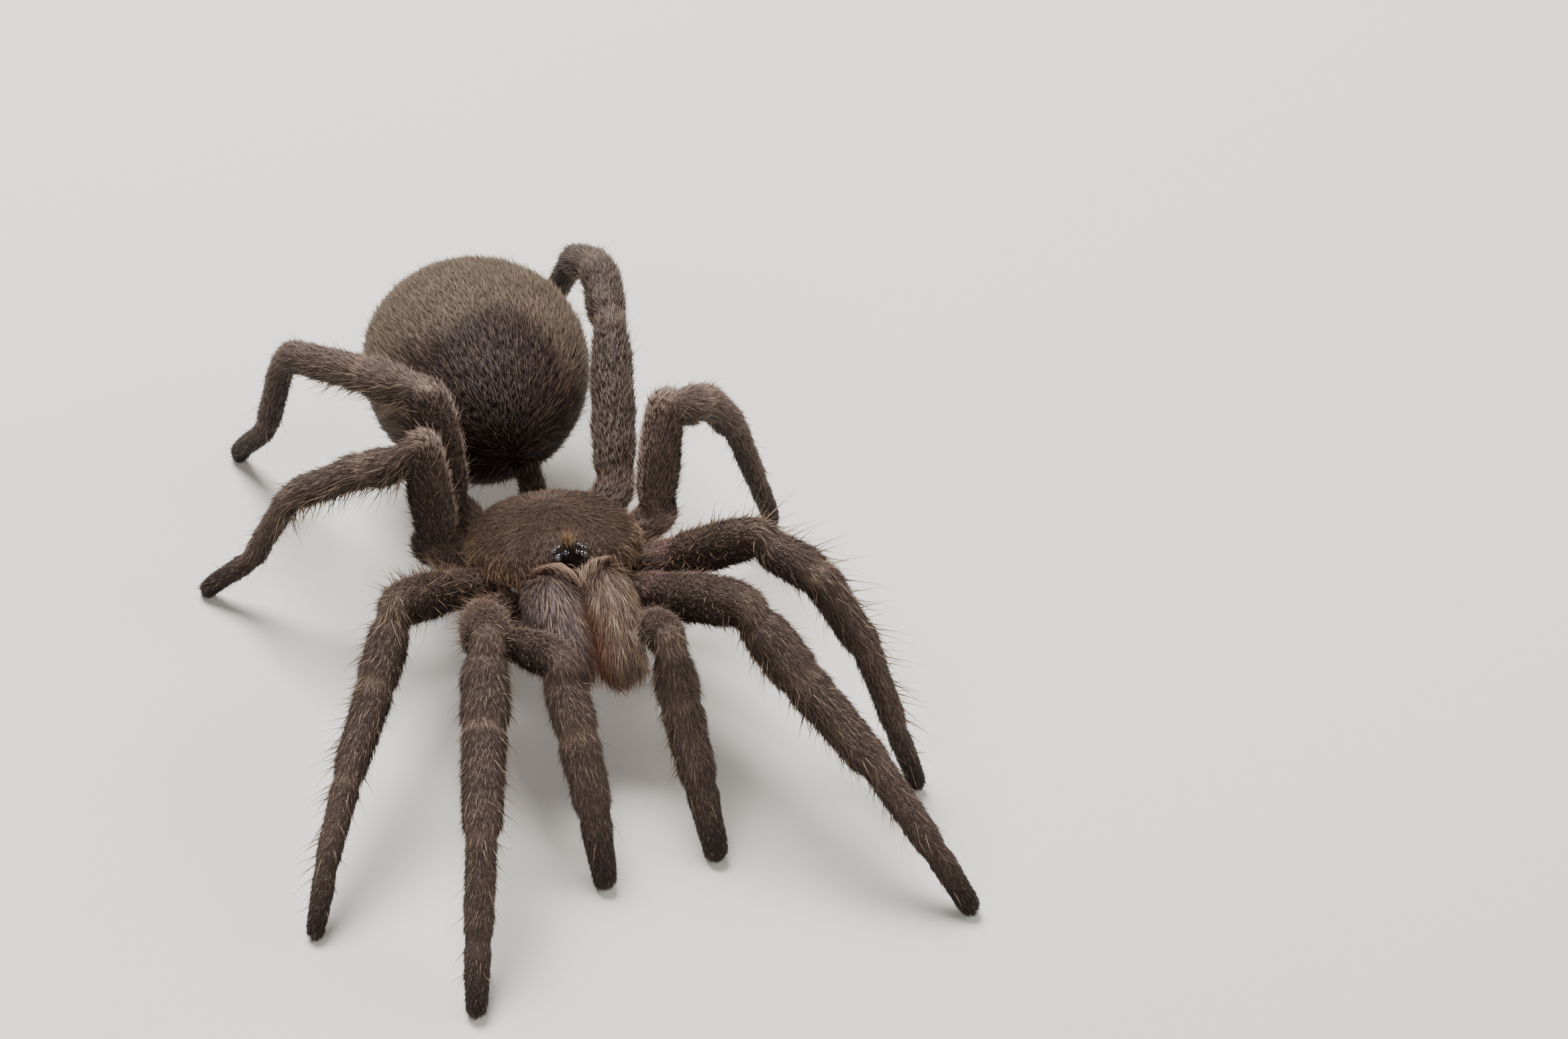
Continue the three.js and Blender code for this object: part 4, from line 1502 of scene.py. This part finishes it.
# %% [markdown]
# ## Dress the skin and the coat
# The skin shows between the hairs, so it takes the same markings as they do: the colour of each of
# its points is stored on it as an attribute. It then stands for every solid of flesh in the frame,
# while the eyes and fangs keep their own pieces.

# %% Colour on the skin
def store_colour(mesh, colours):
    values = np.ones((len(colours), 4), np.float32)
    values[:, :3] = colours
    paint = mesh.attributes.new("tint", "FLOAT_COLOR", "POINT")
    paint.data.foreach_set("color", values.ravel())


skin.data.materials.clear()
skin.data.materials.append(skin_finish)
store_colour(skin.data, tint(skin_places))
EYES = [name for name in nodes if name.startswith("eye_") and name != "eye_tubercle"]
FANGS = ["fang_r", "fang_l"]
flesh = [name for name in nodes if name not in EYES + FANGS]
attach(skin, "root")
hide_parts(*flesh)
print("skin stands for", len(flesh), "solids")

# %% [markdown]
# The hairs become one mesh for each part of the animal, with its pile, guard hairs and jaw hair as
# layers. One mesh for the whole coat would be too heavy to handle, and even the abdomen's coat is
# parted into a left and a right piece.

# %% Coat pieces
COAT_PIECES = {f"coat_{name}": ([name], "leg_coat") for name in LIMBS}
COAT_PIECES["coat_carapace"] = (["carapace", "tubercle"], "carapace_coat")
COAT_PIECES["coat_jaws"] = (["jaw_r", "jaw_l"], "jaw_coat")
COAT_PIECES["coat_abdomen_l"] = (["abdomen", "spinneret"], "abdomen_coat")
COAT_PIECES["coat_abdomen_r"] = (["abdomen", "spinneret"], "abdomen_coat")
COAT_PIECES["coat_belly"] = (["belly"], "belly_coat")
ABDOMEN_MIDDLE = -2.4
# Layers of each coat piece: the hairs and how many segments each has.
LAYERS = [(pile, 1), (guard, 2), (jaw_hair, 2), (jaw_end, 3)]


def add_piece(name, mesh, slot):
    piece = new_object(name, mesh)
    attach(piece, "root")
    print(name, len(mesh.polygons), "faces")
    return piece


def of_regions(hairs, regions, side=None):
    """The hairs of the named regions, or only those left or right of the abdomen's middle."""
    wanted = np.isin(hairs["region"], [REGIONS.index(r) for r in regions])
    if side:
        left = in_body(hairs["root"])[:, 0] > ABDOMEN_MIDDLE
        wanted &= left == (side == "l")
    return chosen(hairs, wanted)


for name, (regions, slot) in COAT_PIECES.items():
    side = name[-1] if name.startswith("coat_abdomen") else None
    layers = [(of_regions(hairs, regions, side), segments) for hairs, segments in LAYERS]
    add_piece(name, hair_mesh(name, [(h, n) for h, n in layers if len(h["root"])], coat_finish), slot)

# %% [markdown]
# The long bristles bend, and each follows its own path, so these are drawn as curves and given
# their thickness by a small node tree: a ring of a few sides is swept along each curve, thinner
# towards the tip. Curve to Mesh doesn't read a curve's radius here, so the tapered radius is fed
# into its Scale, where the taper counts once more: a strand narrows with the taper's square. One
# tree serves the leg bristles, the brow fringe, the eye tuft and the claws.

# %% Node tree that sweeps a tapering ring along curves
def make_strand_tree():
    tree = bpy.data.node_groups.new("tapered_strands", "GeometryNodeTree")
    face = tree.interface
    face.new_socket(name="Geometry", in_out="INPUT", socket_type="NodeSocketGeometry")
    for name, kind, value in (("Sides", "NodeSocketInt", 3), ("Tip Share", "NodeSocketFloat", 0.12)):
        face.new_socket(name=name, in_out="INPUT", socket_type=kind).default_value = value
    face.new_socket(name="Finish", in_out="INPUT", socket_type="NodeSocketMaterial")
    face.new_socket(name="Geometry", in_out="OUTPUT", socket_type="NodeSocketGeometry")
    add, link = tree.nodes.new, tree.links.new
    source, sink = add("NodeGroupInput"), add("NodeGroupOutput")
    along, taper = add("GeometryNodeSplineParameter"), add("ShaderNodeMapRange")
    own, scale = add("GeometryNodeInputRadius"), add("ShaderNodeMath")
    taper.inputs["To Min"].default_value = 1.0
    scale.operation = "MULTIPLY"
    set_radius, ring = add("GeometryNodeSetCurveRadius"), add("GeometryNodeCurvePrimitiveCircle")
    sweep = add("GeometryNodeCurveToMesh")
    ring.inputs["Radius"].default_value = 1.0
    sweep.inputs["Fill Caps"].default_value = True
    real, finish = add("GeometryNodeRealizeInstances"), add("GeometryNodeSetMaterial")
    link(along.outputs["Factor"], taper.inputs["Value"])
    link(source.outputs["Tip Share"], taper.inputs["To Max"])
    link(taper.outputs["Result"], scale.inputs[0])
    link(own.outputs["Radius"], scale.inputs[1])
    link(source.outputs["Geometry"], set_radius.inputs["Curve"])
    link(scale.outputs["Value"], set_radius.inputs["Radius"])
    link(source.outputs["Sides"], ring.inputs["Resolution"])
    link(set_radius.outputs["Curve"], sweep.inputs["Curve"])
    link(scale.outputs["Value"], sweep.inputs["Scale"])
    link(ring.outputs["Curve"], sweep.inputs["Profile Curve"])
    link(sweep.outputs["Mesh"], real.inputs["Geometry"])
    link(real.outputs["Geometry"], finish.inputs["Geometry"])
    link(source.outputs["Finish"], finish.inputs["Material"])
    link(finish.outputs["Geometry"], sink.inputs["Geometry"])
    return tree


strand_tree = make_strand_tree()
print("strand tree:", len(strand_tree.nodes), "nodes")


def strands(name, paths, widths, sides, material):
    """One mesh of strands swept along the paths, with their points in path order."""
    curve = bpy.data.curves.new(name + "_paths", "CURVE")
    curve.dimensions = "3D"
    for path, width in zip(paths, widths):
        spline = curve.splines.new("POLY")
        spline.points.add(len(path) - 1)
        spline.points.foreach_set("co", np.column_stack([path, np.ones(len(path))]).ravel())
        spline.points.foreach_set("radius", np.full(len(path), width / 2))
    thing = new_object(name + "_paths", curve)
    modifier = thing.modifiers.new("strands", "NODES")
    modifier.node_group = strand_tree
    sockets = strand_tree.interface.items_tree
    inputs = {item.name: item.identifier for item in sockets if item.in_out == "INPUT"}
    modifier[inputs["Sides"]] = sides
    modifier[inputs["Finish"]] = material
    mesh = bpy.data.meshes.new_from_object(thing.evaluated_get(bpy.context.evaluated_depsgraph_get()))
    bpy.data.objects.remove(thing)
    bpy.data.curves.remove(curve)
    mesh.name = name
    return mesh


def hair_strands(name, hairs, paths, sides=3):
    """Strands with the coat's colour, root-to-tip value and bake places."""
    mesh = strands(name, paths, hairs["width"], sides, bristle_finish)
    ring = np.arange(len(mesh.vertices)) // sides
    hair, along = ring // paths.shape[1], (ring % paths.shape[1]) / (paths.shape[1] - 1)
    store_colour(mesh, hairs["tint"][hair])
    mesh.attributes.new("along", "FLOAT", "POINT").data.foreach_set("value", along.astype(np.float32))
    corner = np.empty(len(mesh.loops), np.int32)
    mesh.loops.foreach_get("vertex_index", corner)
    patch = hairs["unwrap"][hair[corner]]
    patch[:, 0] += COAT_PATCH * ((corner % sides) / sides - 0.5)
    patch[:, 1] += COAT_PATCH * (along[corner] - 0.5)
    mesh.uv_layers.new(name="OFBake").data.foreach_set("uv", patch.astype(np.float32).ravel())
    print(name, len(paths), "strands,", len(mesh.vertices), "points")
    return mesh


# %% Bristles, fringe and tuft
for limb_kind in LIMB_KINDS:
    own = of_regions(bristle, [f"{limb_kind}_r", f"{limb_kind}_l"])
    name = f"bristles_{limb_kind}"
    add_piece(name, hair_strands(name, own, strand_paths(own)), "leg_coat")
rim = of_regions(bristle, ["carapace"])
add_piece("bristles_carapace", hair_strands("bristles_carapace", rim, strand_paths(rim)), "carapace_coat")
add_piece("brow_fringe", hair_strands("brow_fringe", fringe, fringe_paths, 4), "jaw_coat")
add_piece("eye_tuft", hair_strands("eye_tuft", tuft, strand_paths(tuft)), "carapace_coat")

# %% [markdown]
# ## Eyes and fangs
# Eight small eyes sit on a mound behind the jaws. Each is a clear, wet lens: the front middle pair is
# black, the others have a pearly middle. The frame's solids are faceted, so a smooth ball is fitted
# to the outer face of each, and sunk a little so that hair closes round it. The fangs are smooth,
# dark horn, and only their tips show under the jaws, so their softened solids are enough.

# %% Eyes
LENS_SINK = 0.14 * MM
LENS_TONES = {"front_middle": (0.008, 0.009, 0.012, 1), "pearl": (0.1, 0.108, 0.125, 1)}
LENS_EDGE = (0.006, 0.006, 0.007, 1)
LENS_FADE = (0.35, 0.75)  # how squarely a place faces outwards where the edge gives way
LENS_GLOSS = {"roughness": 0.05, "coat": 1.0, "coat_roughness": 0.03}
LENS_DETAIL = 3


def lens_material(name, middle):
    """A wet lens, dark round its edge: the shade follows the piece's own 'rim' attribute."""
    material = plain_material(name, middle, LENS_GLOSS["roughness"])
    tree = material.node_tree
    shader = tree.nodes["Principled BSDF"]
    rim = shader_node(tree, "Attribute", attribute_name="rim")
    blend = tree.nodes.new("ShaderNodeMix")
    blend.data_type = "RGBA"
    blend.inputs["A"].default_value = middle
    blend.inputs["B"].default_value = LENS_EDGE
    tree.links.new(rim.outputs["Fac"], blend.inputs["Factor"])
    tree.links.new(blend.outputs["Result"], shader.inputs["Base Color"])
    shader.inputs["Coat Weight"].default_value = LENS_GLOSS["coat"]
    shader.inputs["Coat Roughness"].default_value = LENS_GLOSS["coat_roughness"]
    return material


def ball_through(points):
    """Centre and radius of the ball that best fits the points."""
    a = np.concatenate([2 * points, np.ones((len(points), 1))], 1)
    fit = np.linalg.lstsq(a, (points**2).sum(1), rcond=None)[0]
    return fit[:3], math.sqrt(fit[3] + fit[:3] @ fit[:3])


def lens_mesh(name, centre, radius, outward, material):
    work = bmesh.new()
    matrix = Matrix.Translation(centre)
    bmesh.ops.create_icosphere(work, subdivisions=LENS_DETAIL, radius=radius, matrix=matrix)
    mesh = bpy.data.meshes.new(name)
    work.to_mesh(mesh)
    work.free()
    facing = (mesh_arrays(mesh)[0] - centre) @ outward / radius
    rim = mesh.attributes.new("rim", "FLOAT", "POINT")
    rim.data.foreach_set("value", (1 - step(facing, *LENS_FADE)).astype(np.float32))
    mesh.polygons.foreach_set("use_smooth", [True] * len(mesh.polygons))
    mesh.materials.append(material)
    return mesh


lens_finish = {key: lens_material("eye_" + key, tone) for key, tone in LENS_TONES.items()}
mound = mesh_arrays(nodes["eye_tubercle"].data)[0].mean(0)
for node in EYES:
    co = mesh_arrays(nodes[node].data)[0]
    outward = unit(co.mean(0) - mound)
    centre, radius = ball_through(co[(co - co.mean(0)) @ outward > 0])
    finish = lens_finish["front_middle" if "front_middle" in node else "pearl"]
    mesh = lens_mesh(node + "_lens", centre - outward * LENS_SINK, radius, outward, finish)
    lens = add_piece(node + "_lens", mesh, "eye_lens")
    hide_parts(node)
    print(node, "radius", round(radius / MM, 2))

# %% Fangs
HORN_TONE = (0.02, 0.012, 0.01, 1)
HORN_ROUGHNESS = 0.25
HORN_SMOOTHING = 4

horn_finish = plain_material("fang_horn", HORN_TONE, HORN_ROUGHNESS)
for node in FANGS:
    mesh = softened(node, 0, HORN_SMOOTHING)
    mesh.name = node + "_horn"
    mesh.polygons.foreach_set("use_smooth", [True] * len(mesh.polygons))
    mesh.materials.clear()
    mesh.materials.append(horn_finish)
    horn = add_piece(node + "_horn", mesh, "fang_horn")
    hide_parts(node)
print("fangs:", ", ".join(FANGS))

# %% [markdown]
# Each leg ends in two small hooked claws that show in front of the brush of hair under the foot.
# They are strands too: a short path that leaves the toe forwards and curls to the floor.

# %% Claws
CLAW = {"length": 0.75, "width": 0.2, "apart": 0.16, "sides": 6, "sunk": 0.5, "raised": 0.2}
CLAW_REACH = 1.4
CLAW_RISE = np.array([0, 0, 0.35])
CLAW_FALL = np.array([0, 0, -0.8])


def claw_paths():
    paths = []
    for name, limb in limbs.items():
        if name.startswith("palp"):
            continue
        toe, ahead, side = limb.line[-1], limb.ahead[-1], limb.side[-1]
        level = unit(ahead * [1, 1, 0])
        for sign in (-1, 1):
            root = toe - ahead * CLAW["sunk"] * MM + sign * side * CLAW["apart"] * MM
            root = root + limb.back[-1] * CLAW["raised"] * MM
            f = np.linspace(0, 1, STRAND_POINTS)[:, None]
            curl = f * (level * CLAW_REACH + CLAW_RISE) + f * f * CLAW_FALL
            paths.append(path_in_box(root + CLAW["length"] * MM * curl))
    return np.array(paths)


toe_claws = claw_paths()
claw_widths = np.full(len(toe_claws), CLAW["width"] * MM)
claw_mesh = strands("claws", toe_claws, claw_widths, CLAW["sides"], horn_finish)
add_piece("claws", claw_mesh, "fang_horn")

# %% [markdown]
# ## Size
# The frame's box was measured straight after loading, before any piece was added.
